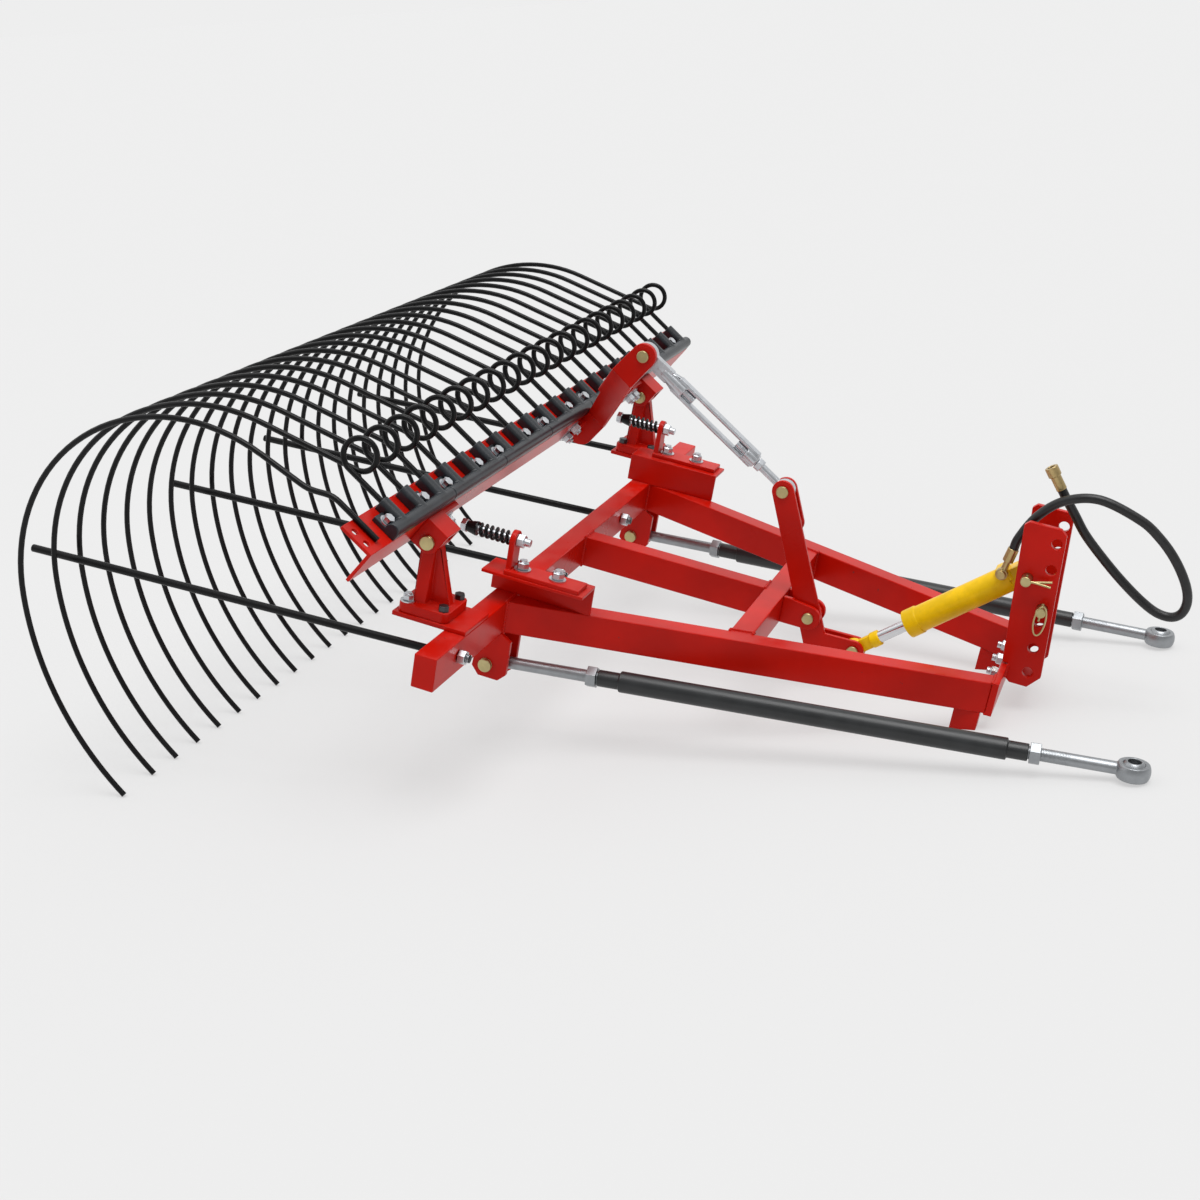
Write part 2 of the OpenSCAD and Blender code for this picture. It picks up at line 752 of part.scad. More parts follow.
// One coil tine: shank, a half turn that steps sideways, the rest of the coil, run, bow and reach
module coil_tine() {
    shank = from_bar([-shank_len, shank_n]);
    half_turn = coil + polar(coil_r, 90 - bar_slope);
    coil_end = coil + polar(coil_r, -90 - run_slope);
    bow_start = bow + polar(bow_r, 90 - run_slope);
    wire_run(from_bar([-ridge_r - 6, shank_n]), shank);
    wire_joint(shank);
    translate([0, coil_step / 2, 0]) at_xz(coil) rotate([0, bar_slope, 0]) rotate([90, 0, 0])
        rotate([-coil_lean, 0, 0]) rotate([0, 0, 90]) wire_ring(coil_r / cos(coil_lean), 180);
    translate([0, coil_step, 0]) {
        wire_joint(half_turn);
        wire_arc(coil, coil_r, -90 - run_slope, 90 - bar_slope);
        wire_joint(coil_end);
        wire_run(coil_end, bow_start);
        wire_joint(bow_start);
        tine_bow(90 - run_slope);
    }
}

// The bow and the reach of a tine, from the slope where its run meets the bow down to the tip
module tine_bow(start) {
    wire_arc(bow, bow_r, start, 180);
    wire_joint(bow - [bow_r, 0]);
    wire_arc(reach, reach_r, 180, tip_angle);
}

module tines(i) {
    color("black") for (k = [0 : tines_each - 1])
        translate([0, tine_y(i * tines_each + k), 0]) coil_tine();
}

// The right-hand end tine has a kink in place of the coil, and lies on the angle's top leg
module end_tine() {
    p0 = from_bar([-14, wire_r]);
    p1 = from_bar([-112, wire_r]);
    p2 = p1 + [-44, 10];
    touch = slope_of(bow, p2) + acos(bow_r / norm(p2 - bow));
    p3 = bow + polar(bow_r, touch);
    color("black") translate([0, end_tine_y, 0]) {
        wire_run(p0, p1);
        wire_joint(p1);
        wire_run(p1, p2);
        wire_joint(p2);
        wire_run(p2, p3);
        wire_joint(p3);
        tine_bow(touch);
    }
}

// The lift arm: a bent plate from a foot on the bar to the pin in the machine's middle plane
arm_in = eye_half + 0.5;
arm_foot = from_bar([14, -34]);
arm_run = norm(arm_pin - arm_foot);

module lift_arm() {
    lean = slope_of(arm_foot, arm_pin);
    y0 = -arm_in - arm_t;
    y1 = arm_foot_y - arm_t / 2;
    s0 = 42;
    s1 = arm_run - 62;
    wall = arm_t / cos(atan((y1 - y0) / (s1 - s0)));
    color("firebrick") difference() {
        union() {
            intersection() {
                at_xz(arm_foot) rotate([0, -lean, 0]) translate([0, 0, -60]) linear_extrude(120) polygon([
                    [-60, y1], [s0, y1], [s1, y0], [arm_run + 60, y0], [arm_run + 60, y0 + arm_t],
                    [s1 + 4, y0 + arm_t], [s0 + 4, y1 + arm_t], [-60, y1 + arm_t]
                ]);
                slab(-cross_len / 2, cross_len / 2) strap(arm_foot, 28, arm_pin, 24);
            }
            on_bar() translate([0, arm_foot_y - 30, -58]) cube([10, 60, 50]);
        }
        at_xz(arm_pin) bar_y(link_pin_r + fit, -100, 100);
        on_bar() translate([-100, arm_foot_y - 100, -100]) cube([100, 200, 200]);
    }
}

module arm_pin() {
    color("darkkhaki") at_xz(arm_pin) {
        bar_y(link_pin_r, -arm_in - arm_t - 1, eye_half + 12);
        bar_y(link_pin_r + 2.5, -arm_in - arm_t - 6, -arm_in - arm_t - face_gap);
        bar_y(link_pin_r + 4, eye_half + face_gap, eye_half + 4);
    }
}

// Turnbuckle: along local X from the arm pin to the lever's top pin
body_x0 = 74;
body_x1 = turnbuckle_len - 74;

module along_turnbuckle() {
    at_xz(arm_pin) rotate([0, -turnbuckle_slope, 0]) children();
}

module turnbuckle_body() {
    r = 14;
    color("silver") along_turnbuckle() difference() {
        union() {
            bar_x(r, body_x0, body_x0 + 26);
            bar_x(r, body_x1 - 26, body_x1);
            for (s = [-1, 1]) translate([body_x0 + 4, s * 13 - 4, -8]) cube([body_x1 - body_x0 - 8, 8, 16]);
        }
        bar_x(8, 0, turnbuckle_len);
    }
}

module turnbuckle_ends() {
    end = body_x0 + 50;
    color("silver") along_turnbuckle() {
        difference() {
            union() {
                bar_y(eye_r + 3, -eye_half, eye_half);
                translate([0, -eye_half, -14]) cube([body_x0 - 12, eye_t, 28]);
                bar_x(8 - fit, 34, end);
            }
            bar_y(link_pin_r + fit, -20, 20);
        }
        bar_x(8 - fit, turnbuckle_len - end, turnbuckle_len - eye_r + 4);
        nut_x(22, body_x1 + 2, body_x1 + 14);
        translate([turnbuckle_len, 0, 0]) bar_y(eye_r, -eye_half, eye_half);
    }
}

// Lever: a straight flat bar past its pivot, with a clevis at the top and a fork at the foot
lever_foot = lever_pivot + polar(foot_down, lever_lean - 90);

module lever() {
    clevis = lever_pivot + polar(lever_len - eye_r - lever_w, 90 + lever_lean);
    half = lever_w / 2;
    color("firebrick") difference() {
        union() {
            slab(-cheek_out, -cheek_in) {
                strap(lever_foot, half, lever_top, 21);
                strap(lever_foot, half - 1.5, rod_pin, 21);
            }
            slab(cheek_in, cheek_out) strap(clevis, half - 2, lever_top, 21);
            slab(cheek_in, cheek_out) strap(lever_foot, half - 1, rod_pin, 21);
            at_xz(clevis) bar_y(half - 5, -cheek_in - 1, cheek_in + 1);
            at_xz(lever_foot) bar_y(half - 5, -cheek_in - 1, cheek_in + 1);
            at_xz(lever_pivot) bar_y(half - 4, -cheek_in - 1, cheek_out);
        }
        at_xz(lever_pivot) bar_y(link_pin_r + fit, -100, 100);
        for (p = [lever_top, rod_pin]) at_xz(p) bar_y(link_pin_r, -100, 100);
    }
}

module lever_pins() {
    color("darkkhaki") for (p = [lever_top, rod_pin]) at_xz(p) {
        bar_y(link_pin_r, -cheek_out - 1, -cheek_in);
        bar_y(link_pin_r + 2.5, -cheek_out - 6, -cheek_out);
        bar_y(link_pin_r, cheek_in, cheek_out + 12);
    }
}

// Cylinder: along local X from the base pin to the rod pin

module along_cylinder() {
    at_xz(base_pin) rotate([0, 180 - cylinder_slope, 0]) children();
}

module cylinder_barrel() {
    color("gold") along_cylinder() difference() {
        union() {
            bar_x(barrel_r, 40, barrel_len);
            bar_x(barrel_r + 2, barrel_len - 26, barrel_len);
            bar_y(22, -20, 20);
            translate([0, -20, -18]) cube([44, 40, 36]);
            translate([port_along - 11, -port_out, -port_rise - 9]) cube([22, port_out + 11, port_rise + 9]);
        }
        bar_y(tower_pin_r + fit, -50, 50);
        bar_x(piston_rod_r + fit, 56, barrel_len + 1);
    }
}

module cylinder_rod() {
    color("gold") along_cylinder() {
        bar_x(piston_rod_r, 60, cylinder_len - 36);
        bar_x(piston_rod_r + 4, cylinder_len - 56, cylinder_len - 40);
        translate([cylinder_len - 46, -eye_half, -12]) cube([46, eye_t, 24]);
        translate([cylinder_len, 0, 0]) bar_y(eye_r, -eye_half, eye_half);
    }
}

// Lower links: along local X from the link pin to the ball eye

module along_link(s) {
    translate([link_pin.x, s * link_y, link_pin.y]) rotate([0, link_pitch, 0])
        rotate([0, 0, -s * link_toe]) children();
}

module link_tube(s) {
    color("black") along_link(s) difference() {
        union() {
            bar_x(link_r, nut_rear_x + 60, nut_front_x - 55);
            bar_x(link_r - 4, nut_rear_x + 20, nut_front_x - 20);
        }
        bar_x(link_end_r + fit, 0, link_len);
    }
}

module link_ends(s) {
    color("silver") along_link(s) {
        difference() {
            union() {
                rotate([0, 0, s * link_toe]) bar_y(20, -ear_half + 1, ear_half - 1);
                bar_x(link_end_r, 12, nut_rear_x + 120);
            }
            rotate([0, 0, s * link_toe]) bar_y(link_pin_end_r + fit, -40, 40);
        }
        nut_x(34, nut_rear_x, nut_rear_x + 18);
        difference() {
            union() {
                bar_x(link_end_r, nut_front_x - 120, link_len - ball_eye_r + 6);
                nut_x(34, nut_front_x - 18, nut_front_x);
                translate([link_len, 0, 0]) intersection() {
                    sphere(ball_eye_r + 2);
                    cube([100, 100, ball_eye_h], center = true);
                }
            }
            translate([link_len, 0, 0]) sphere(ball_r + 0.2);
        }
        translate([link_len, 0, 0]) difference() {
            intersection() {
                sphere(ball_r);
                translate([-50, -50, -ball_half]) cube([100, 100, 2 * ball_half]);
            }
            cylinder(d = ball_bore, h = 100, center = true);
        }
    }
}

module link_right_tube() {
    link_tube(-1);
}

module link_right_ends() {
    link_ends(-1);
}

module link_left_tube() {
    link_tube(1);
}

module link_left_ends() {
    link_ends(1);
}

// Hose from the cylinder's port to its free end

module hose() {
    color("black") swept(hose_route, hose_d / 2, 10);
}

module hose_fitting(a, b, r) {
    run = b - a;
    translate(a) rotate([0, acos(run.z / norm(run)), atan2(run.y, run.x)])
        cylinder(r = r, h = norm(run));
}

module hose_fittings() {
    last = len(hose_route) - 1;
    end = hose_route[last];
    out = run_at(hose_route, last);
    color("goldenrod") {
        at_xz(port_axis) {
            bar_y(11, -port_out - face_gap - banjo_w, -port_out - face_gap);
            bar_y(8, -port_out - banjo_w - 8, -port_out - banjo_w);
        }
        hose_fitting(banjo, banjo + ferrule_len * ferrule_up, banjo_w / 2 - 0.2);
        hose_fitting(banjo + (ferrule_len - 26) * ferrule_up, banjo + ferrule_len * ferrule_up, 10);
        difference() {
            union() {
                hose_fitting(end + face_gap * out, end + 30 * out, 9.5);
                hose_fitting(end + 28 * out, end + 46 * out, 12);
            }
            hose_fitting(end + 32 * out, end + 50 * out, 6.5);
        }
    }
}

cross_tube();
side_beam_right();
side_beam_left();
centre_beam();
mid_crossbeam();
front_plate();
front_feet();
lever_bracket();
lever_pivot_pin();
link_ears();
link_pins();
post_seats();
post_right();
post_left();
hinge_pins();
stop_seats();
stop_tabs();
stop_bolts();
stop_springs();
stripper_rods();
stripper_nuts();
tower_plates();
tower_web();
tower_pins();
tine_bar();
hinge_brackets();
tine_holder(0);  // tine_holder_1
tine_holder(1);  // tine_holder_2
tine_holder(2);  // tine_holder_3
tine_holder(3);  // tine_holder_4
tine_holder(4);  // tine_holder_5
tine_holder(5);  // tine_holder_6
tine_holder(6);  // tine_holder_7
tines(0);  // tines_1
tines(1);  // tines_2
tines(2);  // tines_3
tines(3);  // tines_4
tines(4);  // tines_5
tines(5);  // tines_6
tines(6);  // tines_7
end_tine();
lift_arm();
arm_pin();
turnbuckle_body();
turnbuckle_ends();
lever();
lever_pins();
cylinder_barrel();
cylinder_rod();
link_right_tube();
link_right_ends();
link_left_tube();
link_left_ends();
hose();
hose_fittings();
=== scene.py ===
"""Looks of the mounted hay dump rake: paint, tines, hose, bolts, welds and the studio around it."""

import json
import math

import bmesh
import bpy
from bpy.props import FloatProperty, FloatVectorProperty, IntProperty, PointerProperty
from bpy.types import Operator, Panel, PropertyGroup
from mathutils import Matrix, Vector

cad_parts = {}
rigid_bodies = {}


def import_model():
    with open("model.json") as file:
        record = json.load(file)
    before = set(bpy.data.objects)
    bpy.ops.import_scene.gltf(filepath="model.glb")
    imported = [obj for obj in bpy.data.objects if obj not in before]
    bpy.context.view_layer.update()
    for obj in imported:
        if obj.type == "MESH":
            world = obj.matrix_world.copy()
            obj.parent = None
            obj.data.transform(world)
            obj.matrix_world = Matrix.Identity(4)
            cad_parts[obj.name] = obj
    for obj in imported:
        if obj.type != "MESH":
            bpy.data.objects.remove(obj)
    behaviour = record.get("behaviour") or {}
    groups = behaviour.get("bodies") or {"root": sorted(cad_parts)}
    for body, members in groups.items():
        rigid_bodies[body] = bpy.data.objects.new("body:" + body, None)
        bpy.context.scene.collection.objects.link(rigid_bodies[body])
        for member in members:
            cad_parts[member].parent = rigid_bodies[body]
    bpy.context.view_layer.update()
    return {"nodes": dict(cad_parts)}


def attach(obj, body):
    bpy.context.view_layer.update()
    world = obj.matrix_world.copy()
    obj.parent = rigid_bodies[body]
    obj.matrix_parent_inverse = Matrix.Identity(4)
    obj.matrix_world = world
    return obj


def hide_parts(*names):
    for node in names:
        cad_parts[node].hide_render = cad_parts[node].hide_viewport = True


bl_info = {
    "name": "Hay Dump Rake",
    "version": (1, 0, 0),
    "blender": (4, 5, 0),
    "location": "View3D > Sidebar > Hay Rake",
    "description": "Dresses the packed hay dump rake with its paint, tines, hose, bolts and welds",
    "category": "Object",
}

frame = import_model()

# The part's own driving sizes, in millimetres and degrees
FRAME_TILT = 13.5
CROSS_Z = 259.0
TUBE_W = 40.0
TUBE_H = 60.0
FRAME_LEN = 847.0
MID_X = 407.0
BEAM_REAR_Y = 398.0
BEAM_FRONT_Y = 141.5
POST_X = -64
POST_Y = 553.0
FLANGE_TOP_Z = 56
FLANGE_BOLT = 33
HINGE_X = -78
HINGE_Z = 165
FOLD_RISE = 34
FOLD_BACK = 26
BAR_SLOPE = 45.0
FIRST_TINE_Y = 670.0
TINE_COUNT = 21
SHANK_LEN = 138.0
SHANK_N = 12.0
BOW = (-410.0, 365.0)
BOW_R = 319.0
REACH_R = 530.0
HOLDERS = 7
HOLDER_EDGE = 45.0
HOLDER_GAP = 0.6
HOLDER_BOLT_X = -30
END_TINE_OUT = 37.5
STOP_Y = 412.0
STOP_Z = 145.0
STOP_TOP_Z = 94
STOP_BOLTS_X = (36, 102)
ARM_FOOT_Y = 178.0
ARM_LEN = 285.0
ARM_SLOPE = 45.0
LEVER_LEN = 246.0
LEVER_LEAN = 10.3
FORK_REACH = 105.0
FORK_SLOPE = -38.8
ROD_GAPS = (0, 6, 11, 17)
ROD_DROOP = 3
LINK_LEN = 1118.0
LINK_TOE = 3.7
LINK_Y = 400.0
LINK_DROP = 96.0
LINK_FALL_COS = 0.99129
BALL_Z = 18.709
FRONT_T = 12
FRONT_BOLTS_Y = (-105, -35, 35, 105)
TOWER_FACES = (50, 62)
FERRULE_LEAN = 23.5
MM = 0.001
TO_MM = 1000

# The studio, in metres and degrees; a sun has a name, a strength, a width and a turn
CAMERA_LENS = 54.66
CAMERA_PLACE = (1.262, -3.193, 1.282)
CAMERA_FORWARD = (-0.3393, 0.8864, -0.3149)
CAMERA_RIGHT = (0.9392, 0.3379, -0.0606)
FLOOR_REACH = 400.0
BACKDROP_WAY = (-0.25, 0.65, 0.71)
SUNS = (("key_sun", 1.9, 40, (14, 6, 28)), ("fill_sun", 0.3, 60, (52, -20, -60)))

# Proportions of a hexagon bolt, in widths across its flats
WASHER_R = 0.80
WASHER_H = 0.13
HEX_R = 0.577
HEAD_H = 0.52
CROWN_R = 0.50
CROWN_H = 0.07
CROWN_LIFT = 0.555
STUD_R = 0.33
THREAD_PITCH = 0.11
THREAD_R = 0.035


def from_frame(x, y, z):
    """A point of the tilted frame, in metres of the part's frame."""
    tilt = math.radians(FRAME_TILT)
    return Vector((
        x * math.cos(tilt) + z * math.sin(tilt), y,
        CROSS_Z - x * math.sin(tilt) + z * math.cos(tilt),
    )) * MM


def frame_way(x, y, z):
    """A direction of the tilted frame."""
    return (from_frame(x, y, z) - from_frame(0, 0, 0)).normalized()


PIVOT = from_frame(HINGE_X, 0, HINGE_Z)
FOLD = PIVOT + Vector((FOLD_RISE - FOLD_BACK, 0, FOLD_RISE + FOLD_BACK)) * (MM * math.sqrt(0.5))


def from_bar(x, y, z):
    """A point of the sloping tine bar: x along its top leg, z square to that leg."""
    slope = math.radians(BAR_SLOPE)
    along = Vector((math.cos(slope), 0, -math.sin(slope)))
    normal = Vector((math.sin(slope), 0, math.cos(slope)))
    return FOLD + (x * along + z * normal + y * Vector((0, 1, 0))) * MM


def bar_way(x, y, z):
    """A direction of the sloping tine bar."""
    return (from_bar(x, y, z) - from_bar(0, 0, 0)).normalized()


def polar(r, degrees):
    """A point of the side view at that radius and angle, in the units of the radius."""
    a = math.radians(degrees)
    return Vector((r * math.cos(a), 0, r * math.sin(a)))


def tine_y(i):
    """Where the shank of coil tine i stands across the machine."""
    return -FIRST_TINE_Y + i * tines().pitch * TO_MM


ARM_PIN = PIVOT + polar(ARM_LEN * MM, ARM_SLOPE)
LEVER_PIVOT = from_frame(MID_X + 73, 0, -3)
LEVER_TOP = LEVER_PIVOT + polar(LEVER_LEN * MM, 90 + LEVER_LEAN)
ROD_PIN = LEVER_PIVOT + polar(FORK_REACH * MM, FORK_SLOPE)
BASE_PIN = from_frame(FRAME_LEN + 5, 0, 201)
HITCH_PIN = from_frame(FRAME_LEN + 43.9, 0, 152)
CYLINDER_WAY = (ROD_PIN - BASE_PIN).normalized()
CYLINDER_UP = Vector((CYLINDER_WAY.z, 0, -CYLINDER_WAY.x))
BANJO = BASE_PIN + CYLINDER_WAY * 0.045 + CYLINDER_UP * 0.020 + Vector((0, -0.0303, 0))
FERRULE_UP = polar(1.0, 90 - FERRULE_LEAN)
HOSE_R = 0.0085
HOSE_POINTS = [BANJO + FERRULE_UP * d for d in (0.0529, 0.076)] + [Vector(p) * MM for p in (
    (888, -28, 361), (934, -28, 390), (994, -28, 394),
    (1062, -24, 359), (1096, -20, 326), (1122, -15, 287),
    (1140, -9, 244), (1145, -3, 210), (1137, 3, 184), (1119, 7, 173), (1093, 10, 179), (1064, 12, 201),
    (1028, 14, 238), (993, 14, 281), (966, 13, 319), (948, 12, 354), (935, 11, 379), (925, 10, 400),
)]
BOW_CENTRE = Vector((BOW[0], 0, BOW[1])) * MM


def paints():
    """The colours a user can change."""
    return bpy.context.scene.hay_rake_paints


def tines():
    """The tine sizes a user can change."""
    return bpy.context.scene.hay_rake_tines


def trims():
    """The fastener and weld sizes a user can change."""
    return bpy.context.scene.hay_rake_trims


COLOUR = {"subtype": "COLOR", "size": 3, "min": 0, "max": 1}


class HayRakePaints(PropertyGroup):
    """Colours of the finishes"""

    red: FloatVectorProperty(
        name="Red paint", description="Gloss paint of the frame, bar and linkage",
        default=(0.50, 0.0060, 0.0012), **COLOUR)
    black: FloatVectorProperty(
        name="Black paint", description="Satin paint of tines, stripper rods and stop springs",
        default=(0.0026, 0.0026, 0.0030), **COLOUR)
    polymer: FloatVectorProperty(
        name="Holder polymer", description="Moulded blue-grey of the tine holders",
        default=(0.010, 0.013, 0.017), **COLOUR)
    yellow: FloatVectorProperty(
        name="Cylinder yellow", description="Paint of the lift cylinder",
        default=(0.84, 0.53, 0.001), **COLOUR)
    zinc: FloatVectorProperty(
        name="Bright zinc", description="Plating of nuts, bolts and turnbuckle",
        default=(0.60, 0.62, 0.65), **COLOUR)
    pin_zinc: FloatVectorProperty(
        name="Yellow zinc", description="Yellow plating of the pins",
        default=(0.52, 0.44, 0.22), **COLOUR)
    floor: FloatVectorProperty(
        name="Floor", description="Pale studio floor",
        default=(0.855, 0.855, 0.855), **COLOUR)


class HayRakeTines(PropertyGroup):
    """Sizes of the coil tines"""

    wire: FloatProperty(
        name="Wire", description="Radius of the tine wire", unit="LENGTH", default=0.005)
    pitch: FloatProperty(
        name="Pitch", description="Spacing of the tines", unit="LENGTH", default=0.075)
    coil: FloatProperty(
        name="Coil", description="Radius of the coil to the middle of the wire",
        unit="LENGTH", default=0.028)
    step: FloatProperty(
        name="Step", description="Side step of the wire over the coil", unit="LENGTH", default=0.0115)
    sides: IntProperty(
        name="Sides", description="Faces round the wire", default=12, min=6, max=24)


class HayRakeTrims(PropertyGroup):
    """Sizes of the fasteners and welds"""

    bolt: FloatProperty(
        name="Bolt", description="Width across the flats of the frame's bolts",
        unit="LENGTH", default=0.019)
    small_bolt: FloatProperty(
        name="Holder bolt", description="Width across the flats of the holder bolts",
        unit="LENGTH", default=0.016)
    weld: FloatProperty(
        name="Weld", description="Radius of a weld bead", unit="LENGTH", default=0.0032)


class Socket:
    """One output of a node, usable in Python arithmetic."""

    def __init__(self, tree, socket):
        self.tree = tree
        self.socket = socket

    def math(self, operation, other):
        return self.tree.add("ShaderNodeMath", {"operation": operation}, {0: self, 1: other})

    def __add__(self, other):
        return self.math("ADD", other)

    def __sub__(self, other):
        return self.math("SUBTRACT", other)

    def __mul__(self, other):
        return self.math("MULTIPLY", other)

    def __truediv__(self, other):
        return self.math("DIVIDE", other)

    __radd__ = __add__
    __rmul__ = __mul__


class Tree:
    """A node tree with one way to make a node."""

    def __init__(self, tree):
        self.tree = tree

    def add(self, kind, settings=None, inputs=None, output=0):
        """Makes a node, sets its settings first, then its sockets, and returns one output."""
        node = self.tree.nodes.new(kind)
        for key, value in (settings or {}).items():
            setattr(node, key, value)
        for key, value in (inputs or {}).items():
            many = value if isinstance(value, list) else [value]
            for one in many:
                if isinstance(one, Socket):
                    self.tree.links.new(one.socket, node.inputs[key])
                else:
                    node.inputs[key].default_value = one
        return Socket(self, node.outputs[output]) if len(node.outputs) else None


class Finish(Tree):
    """A material whose pattern sits on the piece's own coordinates."""

    def __init__(self, name):
        self.material = bpy.data.materials.new(name)
        self.material.use_nodes = True
        super().__init__(self.material.node_tree)
        self.tree.nodes.clear()
        self.place = self.add("ShaderNodeTexCoord", output="Object")

    def noise(self, scale, detail=3.0, rough=0.55, stretch=None):
        place = self.place
        if stretch:
            place = self.add("ShaderNodeMapping", inputs={"Vector": place, "Scale": stretch})
        return self.add("ShaderNodeTexNoise", inputs={
            "Vector": place, "Scale": scale, "Detail": detail, "Roughness": rough})

    def step(self, value, low, high):
        return self.add("ShaderNodeMapRange", {"interpolation_type": "SMOOTHSTEP"}, {
            "Value": value, "From Min": low, "From Max": high, "To Min": 0.0, "To Max": 1.0})

    def mix(self, factor, a, b):
        return self.add("ShaderNodeMix", {"data_type": "RGBA"}, {0: factor, 6: a, 7: b}, output=2)

    def clouded(self, cloud, low, high, colour, dark, light):
        """A colour that a cloud shifts from a darker to a lighter tone."""
        return self.mix(self.step(cloud, low, high), rgba(colour, dark), rgba(colour, light))

    def facing_up(self):
        normal = self.add("ShaderNodeNewGeometry", output="Normal")
        return self.add("ShaderNodeSeparateXYZ", inputs={0: normal}, output="Z")

    def bump(self, height, strength, distance=0.001):
        return self.add("ShaderNodeBump", inputs={
            "Height": height, "Strength": strength, "Distance": distance})

    def finish(self, colour, roughness, normal=None, **constants):
        sockets = {"Base Color": colour, "Roughness": roughness}
        if normal:
            sockets["Normal"] = normal
        for key, value in constants.items():
            sockets[key.replace("_", " ").title().replace("Ior", "IOR")] = value
        surface = self.add("ShaderNodeBsdfPrincipled", inputs=sockets)
        self.add("ShaderNodeOutputMaterial", inputs={"Surface": surface})
        return self.material


def rgba(colour, by=1.0):
    """A colour property as four numbers, made lighter or darker."""
    return tuple(min(1.0, c * by) for c in colour) + (1.0,)


def red_paint():
    """Sprayed gloss red with a faint orange peel, dust on top and a few chips."""
    f = Finish("red_paint")
    cloud = f.noise(5.0, 4.0)
    colour = f.clouded(cloud, 0.35, 0.7, paints().red, 0.86, 1.12)
    dust = f.step(f.facing_up(), 0.55, 1.0) * f.step(f.noise(16.0, 5.0, 0.65), 0.42, 0.75)
    colour = f.mix(dust * 0.10, colour, (0.62, 0.30, 0.26, 1))
    chips = f.step(f.noise(95.0, 2.0), 0.735, 0.76)
    colour = f.mix(chips * 0.7, colour, (0.075, 0.03, 0.03, 1))
    rough = 0.24 + cloud * 0.1 + dust * 0.2 + chips * 0.2
    peel = f.noise(330.0, 2.0)
    return f.finish(colour, rough, f.bump(peel - chips * 0.8, 0.05), specular_ior_level=0.15)


def black_paint():
    """Satin black of drawn wire and rods, rubbed a little."""
    f = Finish("black_paint")
    cloud = f.noise(22.0, 4.0)
    rub = f.step(f.noise(160.0, 3.0, 0.6), 0.58, 0.8)
    colour = f.clouded(cloud, 0.3, 0.75, paints().black, 0.8, 1.7)
    colour = f.mix(rub * 0.10, colour, (0.05, 0.047, 0.044, 1))
    grain = f.bump(f.noise(420.0, 2.0), 0.06)
    return f.finish(colour, 0.24 + cloud * 0.16, grain, specular_ior_level=0.22)


def sleeve_grey():
    """Dark grey coating of the lower links' tubes, with a soft sheen."""
    f = Finish("sleeve_grey")
    cloud = f.noise(22.0, 4.0)
    colour = f.mix(f.step(cloud, 0.3, 0.75), (0.010, 0.011, 0.012, 1), (0.017, 0.0185, 0.020, 1))
    return f.finish(colour, 0.30 + cloud * 0.14, f.bump(f.noise(420.0, 2.0), 0.06))


def holder_polymer():
    """Moulded polymer, blue-grey, with a fine grain and pale scuffs."""
    f = Finish("holder_polymer")
    cloud = f.noise(30.0, 4.0)
    scuff = f.step(f.noise(55.0, 6.0, 0.7), 0.56, 0.78)
    colour = f.clouded(cloud, 0.3, 0.7, paints().polymer, 0.75, 1.5)
    colour = f.mix(scuff * 0.25, colour, (0.08, 0.09, 0.105, 1))
    return f.finish(colour, 0.34 + scuff * 0.25, f.bump(f.noise(900.0, 2.0), 0.12, 0.0006))


def plating(name, colour, rough, tint):
    """Electroplated steel: cloudy tone, faint scratches and a soft sheen."""
    f = Finish(name)
    cloud = f.noise(48.0, 5.0, 0.6)
    scratch = f.noise(420.0, 2.0, 0.5, stretch=(1.0, 0.12, 1.0))
    tone = f.clouded(cloud, 0.3, 0.72, colour, 0.88, 1.06)
    tone = f.mix(f.step(cloud, 0.55, 0.85) * 0.35, tone, tint)
    return f.finish(tone, rough + (scratch - 0.5) * 0.12, f.bump(scratch, 0.02, 0.0004), metallic=1.0)


def bright_zinc():
    """Bright zinc of bolts, nuts and turnbuckle."""
    return plating("bright_zinc", paints().zinc, 0.30, (0.47, 0.50, 0.56, 1))


def link_steel():
    """Dull grey plating of the lower links' rods and ball ends."""
    return plating("link_steel", (0.34, 0.355, 0.37), 0.40, (0.25, 0.26, 0.27, 1))


def pin_zinc():
    """Yellow zinc of the pins, with green and bronze clouds."""
    return plating("pin_zinc", paints().pin_zinc, 0.34, (0.42, 0.40, 0.27, 1))


def dark_zinc():
    """Dull grey of weathered bolts."""
    return plating("dark_zinc", (0.085, 0.087, 0.092), 0.36, (0.05, 0.05, 0.055, 1))


def cylinder_yellow():
    """Brushed-on yellow paint with a slightly dirty cloud."""
    f = Finish("cylinder_yellow")
    cloud = f.noise(24.0, 5.0, 0.6)
    dirt = f.step(f.noise(70.0, 4.0, 0.65), 0.6, 0.82)
    colour = f.clouded(cloud, 0.35, 0.7, paints().yellow, 0.86, 1.05)
    colour = f.mix(dirt * 0.28, colour, (0.30, 0.17, 0.02, 1))
    brushed = f.bump(f.noise(260.0, 3.0), 0.08)
    return f.finish(colour, 0.32 + dirt * 0.25, brushed, specular_ior_level=0.18)


def rod_chrome():
    """Polished chrome of the piston rod with a breath of oil."""
    f = Finish("rod_chrome")
    oil = f.noise(60.0, 4.0)
    colour = f.mix(oil, (0.62, 0.64, 0.66, 1), (0.74, 0.75, 0.77, 1))
    return f.finish(colour, 0.09 + oil * 0.12, metallic=1.0)


def hose_rubber():
    """Black hose cover with the wrap marks of its cloth."""
    f = Finish("hose_rubber")
    wrap = f.noise(700.0, 2.0)
    bloom = f.noise(26.0, 4.0)
    colour = f.mix(f.step(bloom, 0.4, 0.75), (0.004, 0.004, 0.0045, 1), (0.012, 0.012, 0.013, 1))
    return f.finish(colour, 0.30 + bloom * 0.16, f.bump(wrap, 0.10, 0.0006))


